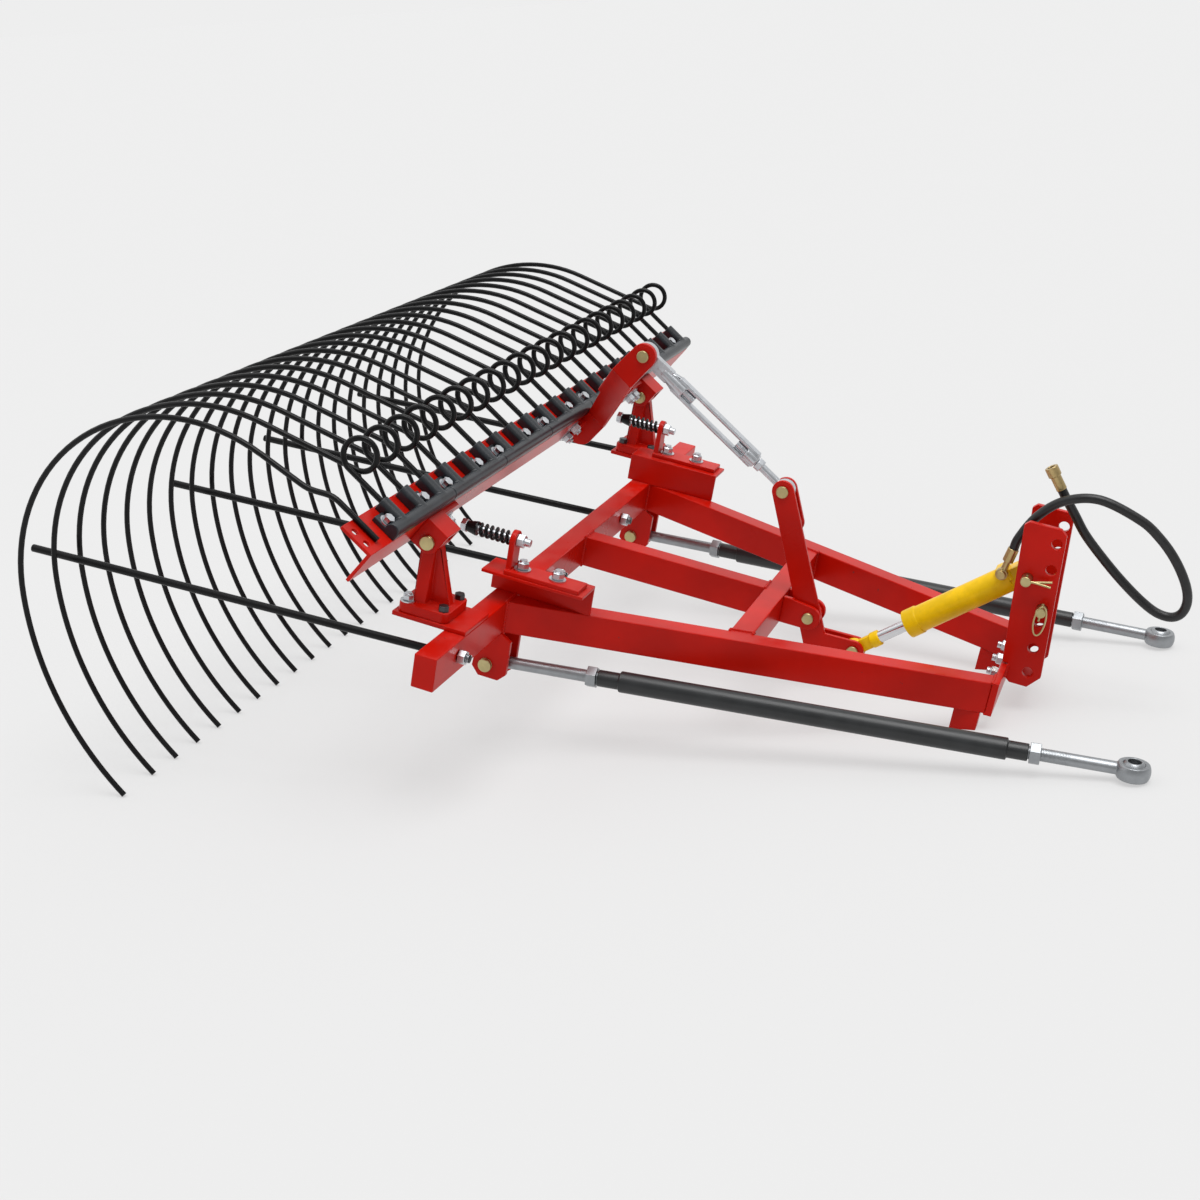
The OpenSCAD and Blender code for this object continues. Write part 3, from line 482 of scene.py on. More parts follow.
def brass_fitting():
    """Passivated fitting metal, between brass and bronze."""
    return plating("brass_fitting", (0.50, 0.37, 0.17), 0.32, (0.40, 0.33, 0.20, 1))


def studio_floor():
    """Even pale floor that keeps the machine's soft shadow."""
    f = Finish("studio_floor")
    grain = f.noise(1.5, 2.0)
    floor = paints().floor
    lit, glow = 0.285, 0.60
    colour = f.mix(grain, rgba(floor, lit * 0.995), rgba(floor, lit * 1.005))
    return f.finish(colour, 0.9 + grain * 0.05, emission_color=rgba(floor), emission_strength=glow,
                    specular_ior_level=0.0)


FINISHES = {}


def finish_of(maker):
    """The material of a finish, made once."""
    if maker not in FINISHES:
        FINISHES[maker] = maker()
    return FINISHES[maker]


def new_object(name, mesh):
    """Puts a mesh into the scene as an object at the origin."""
    obj = bpy.data.objects.new(name, mesh)
    bpy.context.scene.collection.objects.link(obj)
    return obj


def flattened(obj, name, material):
    """Turns an object's modifiers into a plain mesh and keeps only that."""
    graph = bpy.context.evaluated_depsgraph_get()
    mesh = bpy.data.meshes.new_from_object(obj.evaluated_get(graph))
    mesh.name = name
    bpy.data.objects.remove(obj)
    if material and not mesh.materials:
        mesh.materials.append(material)
    return new_object(name, mesh)


def placed(obj, body, replaced=()):
    """Lets a finished piece ride on its body and hides the solids it stands for."""
    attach(obj, body)
    if replaced:
        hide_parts(*replaced)
    return obj


def softened(name, nodes, edge, material, segments=2):
    """Copies solids of the part and rounds their edges."""
    mesh = bpy.data.meshes.new(name)
    whole = bmesh.new()
    for node in nodes:
        one = bmesh.new()
        one.from_mesh(frame["nodes"][node].data)
        bmesh.ops.remove_doubles(one, verts=one.verts, dist=1e-5)
        part = bpy.data.meshes.new(node)
        one.to_mesh(part)
        one.free()
        whole.from_mesh(part)
        bpy.data.meshes.remove(part)
    for face in whole.faces:
        face.smooth = True
    whole.to_mesh(mesh)
    whole.free()
    mesh.materials.clear()
    obj = new_object(name, mesh)
    bevel = obj.modifiers.new("edges", "BEVEL")
    bevel.width = edge
    bevel.segments = segments
    bevel.limit_method = "ANGLE"
    bevel.angle_limit = math.radians(32)
    bevel.use_clamp_overlap = False
    bevel.loop_slide = False
    obj.modifiers.new("shading", "WEIGHTED_NORMAL").weight = 80
    return flattened(obj, name, material)


def dressed(name, nodes, maker, body, edge, segments=2):
    """Rounds solids of the part into one painted piece that rides in their place."""
    return placed(softened(name, nodes, edge, finish_of(maker), segments), body, nodes)


def parted(obj, name, centre, reach, material):
    """Moves the faces of a piece within reach of a point into a new piece with its own finish."""
    mesh = obj.data.copy()
    for data, wanted in ((obj.data, False), (mesh, True)):
        shell = bmesh.new()
        shell.from_mesh(data)
        others = [f for f in shell.faces
                  if ((f.calc_center_median() - centre).length < reach) != wanted]
        bmesh.ops.delete(shell, geom=others, context="FACES")
        shell.to_mesh(data)
        shell.free()
    mesh.materials.clear()
    mesh.materials.append(material)
    return new_object(name, mesh)


class Shape(Tree):
    """A Geometry Nodes tree with named inputs that ends in real, painted geometry."""

    def __init__(self, name, **inputs):
        group = bpy.data.node_groups.new(name, "GeometryNodeTree")
        super().__init__(group)
        self.ids = {}
        face = group.interface
        face.new_socket("Geometry", in_out="INPUT", socket_type="NodeSocketGeometry")
        for key, value in inputs.items():
            kind = "NodeSocketInt" if isinstance(value, int) else "NodeSocketFloat"
            kind = "NodeSocketMaterial" if isinstance(value, bpy.types.Material) else kind
            self.ids[key] = (face.new_socket(key, in_out="INPUT", socket_type=kind).identifier, value)
        face.new_socket("Geometry", in_out="OUTPUT", socket_type="NodeSocketGeometry")
        self.start = group.nodes.new("NodeGroupInput")
        self.geometry = Socket(self, self.start.outputs[0])

    def value(self, key):
        return Socket(self, self.start.outputs[key])

    def tube(self, curve, radius, sides):
        ring = self.add("GeometryNodeCurvePrimitiveCircle", inputs={
            "Resolution": sides, "Radius": radius})
        return self.add("GeometryNodeCurveToMesh", inputs={
            "Curve": curve, "Profile Curve": ring, "Fill Caps": True})

    def curve(self):
        return self.add("GeometryNodeMeshToCurve", inputs={"Mesh": self.geometry})

    def wire(self):
        """The given lines as round wire."""
        return self.tube(self.curve(), self.value("Radius"), self.value("Sides"))

    def disc(self, vertices, radius, depth, lift):
        """A cylinder with its middle at that height."""
        body = self.add("GeometryNodeMeshCylinder", inputs={
            "Vertices": vertices, "Radius": radius, "Depth": depth})
        return self.lifted(body, lift)

    def lifted(self, geometry, height):
        up = self.add("ShaderNodeCombineXYZ", inputs={"Z": height})
        return self.add("GeometryNodeTransform", inputs={"Geometry": geometry, "Translation": up})

    def joined(self, parts):
        return self.add("GeometryNodeJoinGeometry", inputs={"Geometry": parts})

    def shaded(self, geometry, smooth):
        return self.add("GeometryNodeSetShadeSmooth", inputs={
            "Geometry": geometry, "Shade Smooth": smooth})

    def along(self, points, shape):
        """Sets a shape on each point, its Z along the point's own axis."""
        axis = self.add("GeometryNodeInputNamedAttribute", {"data_type": "FLOAT_VECTOR"}, {
            "Name": "axis"})
        turn = self.add("FunctionNodeAlignRotationToVector", {"axis": "Z"}, {"Vector": axis})
        return self.add("GeometryNodeInstanceOnPoints", inputs={
            "Points": points, "Instance": shape, "Rotation": turn})

    def close(self, geometry):
        real = self.add("GeometryNodeRealizeInstances", inputs={"Geometry": geometry})
        painted = self.add("GeometryNodeSetMaterial", inputs={
            "Geometry": real, "Material": self.value("Material")})
        end = self.tree.nodes.new("NodeGroupOutput")
        self.tree.links.new(painted.socket, end.inputs[0])

    def grow(self, name, mesh):
        """Runs the tree on a mesh and gives back the plain result."""
        obj = new_object(name, mesh)
        modifier = obj.modifiers.new("shape", "NODES")
        modifier.node_group = self.tree
        for identifier, value in self.ids.values():
            modifier[identifier] = value
        return flattened(obj, name, self.ids["Material"][1])


def line_mesh(name, runs):
    """A mesh of bare lines, one for each run of points."""
    points, edges = [], []
    for run in runs:
        first = len(points)
        points += [tuple(p) for p in run]
        edges += [(first + i, first + i + 1) for i in range(len(run) - 1)]
    mesh = bpy.data.meshes.new(name)
    mesh.from_pydata(points, edges, [])
    return mesh


def point_mesh(name, spots):
    """A mesh of bare points that each carry the axis of what stands on them."""
    mesh = bpy.data.meshes.new(name)
    mesh.from_pydata([tuple(p) for p, _ in spots], [], [])
    axes = mesh.attributes.new("axis", "FLOAT_VECTOR", "POINT")
    for item, (_, axis) in zip(axes.data, spots):
        item.vector = axis
    return mesh


def wires(name, runs, radius, material, sides=12):
    """Round wire along runs of points."""
    shape = Shape("round_wire", Radius=radius, Sides=sides, Material=material)
    shape.close(shape.shaded(shape.wire(), True))
    return shape.grow(name, line_mesh(name, runs))


def bolts(name, spots, flats, material, washer=True, stud=0.0):
    """Hexagon heads or nuts with washer, chamfer and the stub of their thread."""
    shape = Shape("hexagon_bolt", Flats=flats, Stud=max(stud, 0.0001), Material=material)
    width = shape.value("Flats")
    base = width * (0.16 if washer else 0.02)
    parts = []
    if washer:
        parts.append(shape.disc(24, width * WASHER_R, width * WASHER_H, width * (WASHER_H / 2)))
    parts.append(shape.disc(6, width * HEX_R, width * HEAD_H, base + width * (HEAD_H / 2)))
    crown = shape.add("GeometryNodeMeshCone", inputs={
        "Vertices": 6, "Radius Top": width * CROWN_R, "Radius Bottom": width * HEX_R,
        "Depth": width * CROWN_H})
    parts.append(shape.lifted(crown, base + width * CROWN_LIFT))
    if stud:
        length = shape.value("Stud")
        parts.append(shape.disc(16, width * STUD_R, length + width * 0.6, base + width * 0.3 + length / 2))
        thread = shape.add("GeometryNodeCurveSpiral", inputs={
            "Resolution": 14, "Rotations": max(2.0, stud / (flats * THREAD_PITCH)),
            "Start Radius": flats * STUD_R, "End Radius": flats * STUD_R, "Height": stud})
        ridge = shape.tube(thread, width * THREAD_R, 4)
        parts.append(shape.lifted(ridge, base + width * 0.6))
    shape.close(shape.along(shape.geometry, shape.shaded(shape.joined(parts), False)))
    return shape.grow(name, point_mesh(name, spots))


def threads(name, stretches, material):
    """Screw threads: a fine ridge wound round each stretch of rod."""
    runs = []
    turn_steps, ridge = 14, 0.00055
    for start, end, radius, pitch in stretches:
        way = end - start
        length = way.length
        way.normalize()
        side = way.orthogonal().normalized()
        other = way.cross(side)
        count = int(length / pitch * turn_steps)
        run = []
        for i in range(count + 1):
            a = i * math.tau / turn_steps
            run.append(start + way * (length * i / count)
                       + (side * math.cos(a) + other * math.sin(a)) * radius)
        runs.append(run)
    return wires(name, runs, ridge, material, sides=4)


def weld_beads(name, runs, radius, material):
    """Welds: overlapping drops along each seam."""
    shape = Shape("weld_bead", Radius=radius, Material=material)
    curve = shape.curve()
    evenly = shape.add("GeometryNodeResampleCurve", {"mode": "LENGTH"}, {
        "Curve": curve, "Length": shape.value("Radius") * 0.75})
    to_points = shape.tree.nodes.new("GeometryNodeCurveToPoints")
    to_points.mode = "EVALUATED"
    shape.tree.links.new(evenly.socket, to_points.inputs["Curve"])
    drop = shape.add("GeometryNodeMeshIcoSphere", inputs={
        "Radius": shape.value("Radius"), "Subdivisions": 2})
    smallest, largest, seed = 0.85, 1.12, 7
    size = shape.add("FunctionNodeRandomValue", {"data_type": "FLOAT"}, {
        2: smallest, 3: largest, "Seed": seed}, output=1)
    beads = shape.add("GeometryNodeInstanceOnPoints", inputs={
        "Points": Socket(shape, to_points.outputs["Points"]), "Instance": drop,
        "Rotation": Socket(shape, to_points.outputs["Rotation"]), "Scale": size})
    shape.close(shape.shaded(beads, True))
    return shape.grow(name, line_mesh(name, runs))


def eased(points, parts):
    """More points on a smooth curve through the given ones."""
    last = len(points) - 1
    found = []
    for i in range(last):
        a, b = points[max(i - 1, 0)], points[i]
        c, d = points[i + 1], points[min(i + 2, last)]
        for k in range(parts):
            t = k / parts
            found.append(0.5 * (2 * b + (c - a) * t + (2 * a - 5 * b + 4 * c - d) * t ** 2
                                + (3 * b - a - 3 * c + d) * t ** 3))
    return found + [points[last]]


def arc(centre, radius, start, end, count, side=0.0, lean=0.0):
    """Points of an arc in the side view; lean steps them sideways from start to end."""
    return [
        centre + polar(radius, start + (end - start) * i / count)
        + Vector((0, side + lean * i / count, 0))
        for i in range(count + 1)
    ]


def tine_tail(start):
    """The bow and the reach of a tine down to its tip."""
    reach = BOW_CENTRE + Vector(((REACH_R - BOW_R) * MM, 0, 0))
    wire = tines().wire * TO_MM
    tip = 180 + math.degrees(math.asin((BOW[1] - wire * BOW[1] / (REACH_R + wire)) / REACH_R))
    bow_steps, reach_steps = 34, 22
    return (arc(BOW_CENTRE, BOW_R * MM, start, 180, bow_steps),
            arc(reach, REACH_R * MM, 180, tip, reach_steps))


def coil_tine_line():
    """The middle line of one coil tine, at the machine's middle."""
    size = tines()
    coil_steps = 26
    coil = from_bar(-SHANK_LEN, 0, SHANK_N + size.coil * TO_MM)
    gap = coil - BOW_CENTRE
    lean = math.degrees(math.atan2(gap.x, gap.z))
    slope = lean - math.degrees(math.acos((BOW_R * MM + size.coil) / gap.length))
    line = [from_bar(-20, 0, SHANK_N), from_bar(-SHANK_LEN, 0, SHANK_N)]
    half = arc(coil, size.coil, -90 - BAR_SLOPE, -270 - BAR_SLOPE, coil_steps, 0.0, size.step)
    rest = arc(coil, size.coil, 90 - BAR_SLOPE, -90 - slope, coil_steps, size.step)
    side = Vector((0, size.step, 0))
    bow_part, reach_part = tine_tail(90 - slope)
    line += half[1:] + rest[1:] + [p + side for p in bow_part] + [p + side for p in reach_part[1:]]
    return line


def row_of_tines():
    """All coil tines of the row, from one swept line set on evenly spaced points."""
    size = tines()
    shape = Shape(
        "tine_row", Radius=size.wire, Sides=size.sides, Count=TINE_COUNT, Pitch=size.pitch,
        Start=-FIRST_TINE_Y * MM, Material=finish_of(black_paint))
    tine = shape.shaded(shape.wire(), True)
    first = shape.add("ShaderNodeCombineXYZ", inputs={"Y": shape.value("Start")})
    step = shape.add("ShaderNodeCombineXYZ", inputs={"Y": shape.value("Pitch")})
    row = shape.add("GeometryNodeMeshLine", {"mode": "OFFSET"}, {
        "Count": shape.value("Count"), "Start Location": first, "Offset": step})
    shape.close(shape.add("GeometryNodeInstanceOnPoints", inputs={"Points": row, "Instance": tine}))
    return shape.grow("coil_tines", line_mesh("coil_tines", [coil_tine_line()]))


def end_tine_line():
    """The middle line of the right-hand end tine, which has a kink in place of a coil."""
    wire = tines().wire * TO_MM
    bend = 0.014
    side = Vector((0, -FIRST_TINE_Y - HOLDER_EDGE - END_TINE_OUT, 0)) * MM
    p0, p1 = from_bar(-14, 0, wire), from_bar(-112, 0, wire)
    p2 = p1 + Vector((-44, 0, 10)) * MM
    gap = p2 - BOW_CENTRE
    touch = (math.degrees(math.atan2(gap.z, gap.x))
             + math.degrees(math.acos(BOW_R * MM / gap.length)))
    bow_part, reach_part = tine_tail(touch)
    bends = []
    for a, b, c in ((p0, p1, p2), (p1, p2, bow_part[0])):
        before, after = (b + (end - b).normalized() * bend for end in (a, c))
        bends += [before.lerp(b, t).lerp(b.lerp(after, t), t) for t in (0, 0.25, 0.5, 0.75, 1)]
    return [p + side for p in [p0] + bends + bow_part + reach_part[1:]]


class HAYRAKE_OT_stage(Operator):
    """Sets the camera of the photograph's angle, the pale floor and the soft studio light"""

    bl_idname = "hay_rake.stage"
    bl_label = "Studio Stage"

    def execute(self, context):
        scene = context.scene
        scene.view_settings.view_transform = "Standard"
        data = bpy.data.cameras.new("studio_camera")
        data.sensor_width = 36.0
        data.lens = CAMERA_LENS
        data.clip_end = 2000.0
        camera = bpy.data.objects.new("studio_camera", data)
        scene.collection.objects.link(camera)
        forward = Vector(CAMERA_FORWARD).normalized()
        right = Vector(CAMERA_RIGHT)
        right = (right - forward * right.dot(forward)).normalized()
        up = right.cross(forward)
        turn = Matrix((right, up, -forward)).transposed().to_4x4()
        camera.matrix_world = Matrix.Translation(CAMERA_PLACE) @ turn
        scene.camera = camera
        mesh = bpy.data.meshes.new("studio_floor")
        corners = ((-1, -1), (1, -1), (1, 1), (-1, 1))
        mesh.from_pydata([(x * FLOOR_REACH, y * FLOOR_REACH, 0) for x, y in corners], [], [(0, 1, 2, 3)])
        mesh.materials.append(finish_of(studio_floor))
        new_object("studio_floor", mesh)
        self.light(scene)
        return {"FINISHED"}

    def light(self, scene):
        world = bpy.data.worlds.new("studio_world")
        scene.world = world
        world.use_nodes = True
        tree = Tree(world.node_tree)
        world.node_tree.nodes.clear()
        seen = tree.add("ShaderNodeLightPath", output="Is Camera Ray")
        way = tree.add("ShaderNodeTexCoord", output="Generated")
        backdrop = tree.add("ShaderNodeVectorMath", {"operation": "DOT_PRODUCT"},
                            {0: way, 1: BACKDROP_WAY}, output="Value")
        dim, bright, back = (
            tree.add("ShaderNodeBackground", inputs={"Color": (tone, tone, tone, 1), "Strength": strength})
            for tone, strength in ((1, 0.25), (1, 1.0), (0.855, 1.0)))
        glow = tree.add("ShaderNodeMixShader", inputs={0: backdrop * 0.55 + 0.45, 1: dim, 2: bright})
        mixed = tree.add("ShaderNodeMixShader", inputs={0: seen, 1: glow, 2: back})
        tree.add("ShaderNodeOutputWorld", inputs={"Surface": mixed})
        for name, strength, angle, turn in SUNS:
            sun = bpy.data.lights.new(name, "SUN")
            sun.energy = strength
            sun.angle = math.radians(angle)
            lamp = bpy.data.objects.new(name, sun)
            lamp.rotation_euler = [math.radians(a) for a in turn]
            scene.collection.objects.link(lamp)


class HAYRAKE_OT_hose(Operator):
    """Sweeps the hydraulic hose along its route and dresses its fittings"""

    bl_idname = "hay_rake.hose"
    bl_label = "Hydraulic Hose"

    def execute(self, context):
        route = eased(HOSE_POINTS, 8)
        hose = wires("hydraulic_hose", [route], HOSE_R, finish_of(hose_rubber), sides=20)
        ends = softened("hose_ferrules", ["hose_fittings"], 0.0012, finish_of(brass_fitting))
        placed(hose, "barrel", ["hose"])
        placed(ends, "barrel", ["hose_fittings"])
        length = sum((b - a).length for a, b in zip(route, route[1:]))
        return {"FINISHED"}


class HAYRAKE_OT_frame_tubes(Operator):
    """Rounds the corners of the frame's rectangular tubes"""

    bl_idname = "hay_rake.frame_tubes"
    bl_label = "Frame Tubes"

    def execute(self, context):
        nodes = ["cross_tube", "side_beam_right", "side_beam_left", "centre_beam", "mid_crossbeam"]
        dressed("frame_tubes", nodes, red_paint, "frame", edge=0.0022, segments=3)
        return {"FINISHED"}


class HAYRAKE_OT_frame_plates(Operator):
    """Softens the frame's plates, ears, seats and feet"""

    bl_idname = "hay_rake.frame_plates"
    bl_label = "Frame Plates"

    def execute(self, context):
        nodes = ["front_plate", "front_feet", "lever_bracket", "link_ears", "post_seats"]
        dressed("frame_plates", nodes, red_paint, "frame", edge=0.0012)
        return {"FINISHED"}


class HAYRAKE_OT_hinge_posts(Operator):
    """Rounds the two cast hinge posts"""

    bl_idname = "hay_rake.hinge_posts"
    bl_label = "Hinge Posts"

    def execute(self, context):
        nodes = ["post_right", "post_left"]
        dressed("hinge_posts", nodes, red_paint, "frame", edge=0.0018)
        return {"FINISHED"}


class HAYRAKE_OT_spring_stops(Operator):
    """Makes the two spring stops: seats, tabs, bolts, springs and cups"""

    bl_idname = "hay_rake.spring_stops"
    bl_label = "Spring Stops"

    def execute(self, context):
        nodes = ["stop_seats", "stop_tabs"]
        dressed("stop_plates", nodes, red_paint, "frame", edge=0.0012)
        dressed("stop_studs", ["stop_bolts"], bright_zinc, "frame", edge=0.0008)
        start, length, coil, turns, turn_steps = -53, 60, 10.2, 6, 28
        last = turns * turn_steps
        runs = [[
            from_frame(start + length * i / last, side + coil * math.cos(math.tau * i / turn_steps),
                       STOP_Z + coil * math.sin(math.tau * i / turn_steps))
            for i in range(last + 1)
        ] for side in (-STOP_Y, STOP_Y)]
        placed(wires("stop_springs_wire", runs, 0.0027, finish_of(black_paint), 10),
               "frame", ["stop_springs"])
        placed(new_object("spring_cups", self.cups(turn_steps)), "frame")
        return {"FINISHED"}

    def cups(self, steps):
        """The hollow cone at the rear of each spring, turned from its profile."""
        profile = [(-75.7, 7.2), (-75.7, 8.8), (-74.5, 9.6), (-58, 13), (-56, 12.6), (-56, 7.2)]
        mesh = bpy.data.meshes.new("spring_cups")
        shell = bmesh.new()
        for side in (-STOP_Y, STOP_Y):
            loops = []
            for k in range(steps):
                a = math.tau * k / steps
                loops.append([
                    shell.verts.new(from_frame(x, side + r * math.cos(a), STOP_Z + r * math.sin(a)))
                    for x, r in profile])
            for k in range(steps):
                one, two = loops[k], loops[(k + 1) % steps]
                for i in range(len(profile)):
                    j = (i + 1) % len(profile)
                    shell.faces.new((one[i], one[j], two[j], two[i]))
        bmesh.ops.recalc_face_normals(shell, faces=shell.faces)
        shell.to_mesh(mesh)
        shell.free()
        mesh.materials.append(finish_of(black_paint))
        return mesh


class HAYRAKE_OT_hitch_tower(Operator):
    """Softens the hitch tower and its pins"""

    bl_idname = "hay_rake.hitch_tower"
    bl_label = "Hitch Tower"

    def execute(self, context):
        nodes = ["tower_plates", "tower_web"]
        dressed("hitch_tower", nodes, red_paint, "frame", edge=0.0012)
        nodes = ["tower_pins", "lever_pivot_pin", "link_pins", "hinge_pins"]
        dressed("frame_pins", nodes, pin_zinc, "frame", edge=0.0016)
        return {"FINISHED"}


class HAYRAKE_OT_stripper_rods(Operator):
    """Finishes the four stripper rods with their nuts and threads"""

    bl_idname = "hay_rake.stripper_rods"
    bl_label = "Stripper Rods"

    def execute(self, context):
        dressed("stripper_rods_round", ["stripper_rods"], black_paint, "frame", edge=0.0012)
        dressed("stripper_rod_nuts", ["stripper_nuts"], bright_zinc, "frame", edge=0.0009)
        stretches = []
        radius, pitch = 0.007, 0.002
        droop = math.radians(ROD_DROOP)
        for gap in ROD_GAPS:
            y = tine_y(gap) + tines().pitch * TO_MM / 2 + tines().step * TO_MM
            start, end = (from_frame(s * math.cos(droop), y, s * math.sin(droop)) for s in (35.5, 41.5))
            stretches.append((start, end, radius, pitch))
        placed(threads("stripper_rod_threads", stretches, finish_of(bright_zinc)), "frame")
        return {"FINISHED"}


class HAYRAKE_OT_tine_bar(Operator):
    """Softens the tine bar's steel angle and its hinge brackets"""

    bl_idname = "hay_rake.tine_bar"
    bl_label = "Tine Bar"

    def execute(self, context):
        nodes = ["tine_bar", "hinge_brackets"]
        dressed("tine_bar_angle", nodes, red_paint, "rake_bar", edge=0.0011)
        return {"FINISHED"}


class HAYRAKE_OT_tine_holders(Operator):
    """Rounds the moulded tine holders"""

    bl_idname = "hay_rake.tine_holders"
    bl_label = "Tine Holders"

    def execute(self, context):
        nodes = ["tine_holder_%d" % (i + 1) for i in range(HOLDERS)]
        dressed("tine_holders", nodes, holder_polymer, "rake_bar", edge=0.0016, segments=3)
        return {"FINISHED"}


class HAYRAKE_OT_coil_tines(Operator):
    """Sweeps the row of coil tines and the kinked end tine"""

    bl_idname = "hay_rake.coil_tines"
    bl_label = "Coil Tines"

    def execute(self, context):
        placed(row_of_tines(), "rake_bar", ["tines_%d" % (i + 1) for i in range(HOLDERS)])
        end = wires("end_tine_wire", [end_tine_line()], tines().wire, finish_of(black_paint))
        placed(end, "rake_bar", ["end_tine"])
        return {"FINISHED"}


class HAYRAKE_OT_lift_linkage(Operator):
    """Softens the lift arm, the turnbuckle and the lever with their pins"""

    bl_idname = "hay_rake.lift_linkage"
    bl_label = "Lift Linkage"

    def execute(self, context):
        for name, node, maker, body, slot, edge in (
                ("lift_arm_plate", "lift_arm", red_paint, "rake_bar", "red_paint", 0.0015),
                ("lift_arm_pin", "arm_pin", pin_zinc, "rake_bar", "yellow_zinc", 0.0014),
                ("turnbuckle_frame", "turnbuckle_body", bright_zinc, "turnbuckle", "zinc", 0.0022),
                ("turnbuckle_eyes", "turnbuckle_ends", bright_zinc, "turnbuckle", "zinc", 0.0010),
                ("lift_lever", "lever", red_paint, "lever", "red_paint", 0.0013),
                ("lift_lever_pins", "lever_pins", pin_zinc, "lever", "yellow_zinc", 0.0012)):
            dressed(name, [node], maker, body, edge)
        way = (LEVER_TOP - ARM_PIN).normalized()
        length = (LEVER_TOP - ARM_PIN).length
        self.forge(bpy.data.objects["turnbuckle_frame"].data, way)
        near, far, radius, pitch = 0.101, 0.124, 0.0079, 0.002
        stretches = [(ARM_PIN + way * a, ARM_PIN + way * b, radius, pitch)
                     for a, b in ((near, far), (length - far, length - near))]
        placed(threads("turnbuckle_threads", stretches, finish_of(bright_zinc)), "turnbuckle")
        return {"FINISHED"}

    def forge(self, mesh, way):
        """Turns the body's slot to the side and draws its rear end out to the eye in a taper."""
        rear_end, drawn, slimmer = 0.078, 0.028, 0.72
        shell = bmesh.new()
        shell.from_mesh(mesh)
        for vert in shell.verts:
            along = (vert.co - ARM_PIN).dot(way)
            off = way.cross(vert.co - ARM_PIN - way * along)
            if along < rear_end:
                along -= drawn
                off *= slimmer
            vert.co = ARM_PIN + way * along + off
        shell.to_mesh(mesh)
        shell.free()


class HAYRAKE_OT_lift_cylinder(Operator):
    """Finishes the cylinder's barrel and rod"""

    bl_idname = "hay_rake.lift_cylinder"
    bl_label = "Lift Cylinder"

    def execute(self, context):
        barrel = ["cylinder_barrel"]
        dressed("cylinder_tube", barrel, cylinder_yellow, "barrel", edge=0.0014)
        eye_reach = 0.058
        rod = softened("piston_rod", ["cylinder_rod"], 0.0009, finish_of(rod_chrome))
        eye = parted(rod, "piston_rod_eye", ROD_PIN, eye_reach, finish_of(cylinder_yellow))
        placed(rod, "rod", ["cylinder_rod"])
        placed(eye, "rod")
        return {"FINISHED"}


class HAYRAKE_OT_lower_links(Operator):
    """Finishes the two lower links with tubes, ball ends and threads"""

    bl_idname = "hay_rake.lower_links"
    bl_label = "Lower Links"

    def execute(self, context):
        toe = math.radians(LINK_TOE)
        radius, pitch = 0.011, 0.0025
        for side, sign in (("right", -1), ("left", 1)):
            body = "link_" + side
            dressed(body + "_sleeve", [body + "_tube"], sleeve_grey, body, edge=0.0018)
            dressed(body + "_rods", [body + "_ends"], link_steel, body, edge=0.0010)
            start = from_frame(0, sign * LINK_Y, -LINK_DROP)
            ball = Vector((start.x + LINK_LEN * math.cos(toe) * MM * LINK_FALL_COS,
                           sign * (LINK_Y - LINK_LEN * math.sin(toe)) * MM, BALL_Z * MM))
            way = (ball - start).normalized()
            stretches = [(start + way * a, start + way * b, radius, pitch)
                         for a, b in ((0.110, 0.179), (0.969, 1.015))]
            placed(threads(body + "_threads", stretches, finish_of(link_steel)), body)
        return {"FINISHED"}


class HAYRAKE_OT_fasteners(Operator):
    """Sets the bolts and nuts of the holders, the stops, the posts, the front plate and the bar"""

    bl_idname = "hay_rake.fasteners"
    bl_label = "Fasteners"

    def execute(self, context):
        zinc, dark = finish_of(bright_zinc), finish_of(dark_zinc)
        up = frame_way(0, 0, 1)
        normal, ahead = bar_way(0, 0, 1), bar_way(1, 0, 0)
        holder, under = [], []
        each = TINE_COUNT // HOLDERS
        inset, rib, top, below = 14, 12, 9, -6
        for i in range(HOLDERS):
            start = tine_y(each * i) - HOLDER_EDGE + HOLDER_GAP
            for y in (start + inset, tine_y(each * i + 1) + rib + inset):
                holder.append((from_bar(HOLDER_BOLT_X, y, top), normal))
                under.append((from_bar(HOLDER_BOLT_X, y, below), -normal))
        placed(bolts("holder_bolts", holder, trims().small_bolt, zinc), "rake_bar")
        placed(bolts("holder_nuts", under, trims().small_bolt, zinc, stud=0.006), "rake_bar")
        stops = [(from_frame(x, side, STOP_TOP_Z), up) for side in (-STOP_Y, STOP_Y) for x in STOP_BOLTS_X]
        flanges, outer = [], []
        out = FLANGE_BOLT
        for side in (-1, 1):
            for x, y in ((-out, -out), (out, -out), (out, out)):
                flanges.append((from_frame(POST_X + x, side * (POST_Y + y), FLANGE_TOP_Z), up))
            outer.append((from_frame(POST_X - out, side * (POST_Y + out), FLANGE_TOP_Z), up))
        rear = [(from_frame(FRAME_LEN, y, 0), frame_way(-1, 0, 0)) for y in FRONT_BOLTS_Y]
        placed(bolts("frame_bolts", stops, trims().bolt, zinc, stud=0.004), "frame")
        placed(bolts("flange_bolts", flanges, trims().small_bolt, dark, washer=False), "frame")
        placed(bolts("flange_nuts", outer, trims().small_bolt, zinc, stud=0.003), "frame")
        placed(bolts("front_plate_nuts", rear, trims().bolt, zinc, stud=0.008), "frame")
        front = [(from_bar(8, side * (POST_Y - y), -33), ahead) for side in (-1, 1) for y in (42, 76)]
        front += [(from_bar(0, ARM_FOOT_Y - 44, z), ahead) for z in (-20, -46)]
        placed(bolts("bar_bolts", front, trims().bolt, zinc, stud=0.005), "rake_bar")
        return {"FINISHED"}


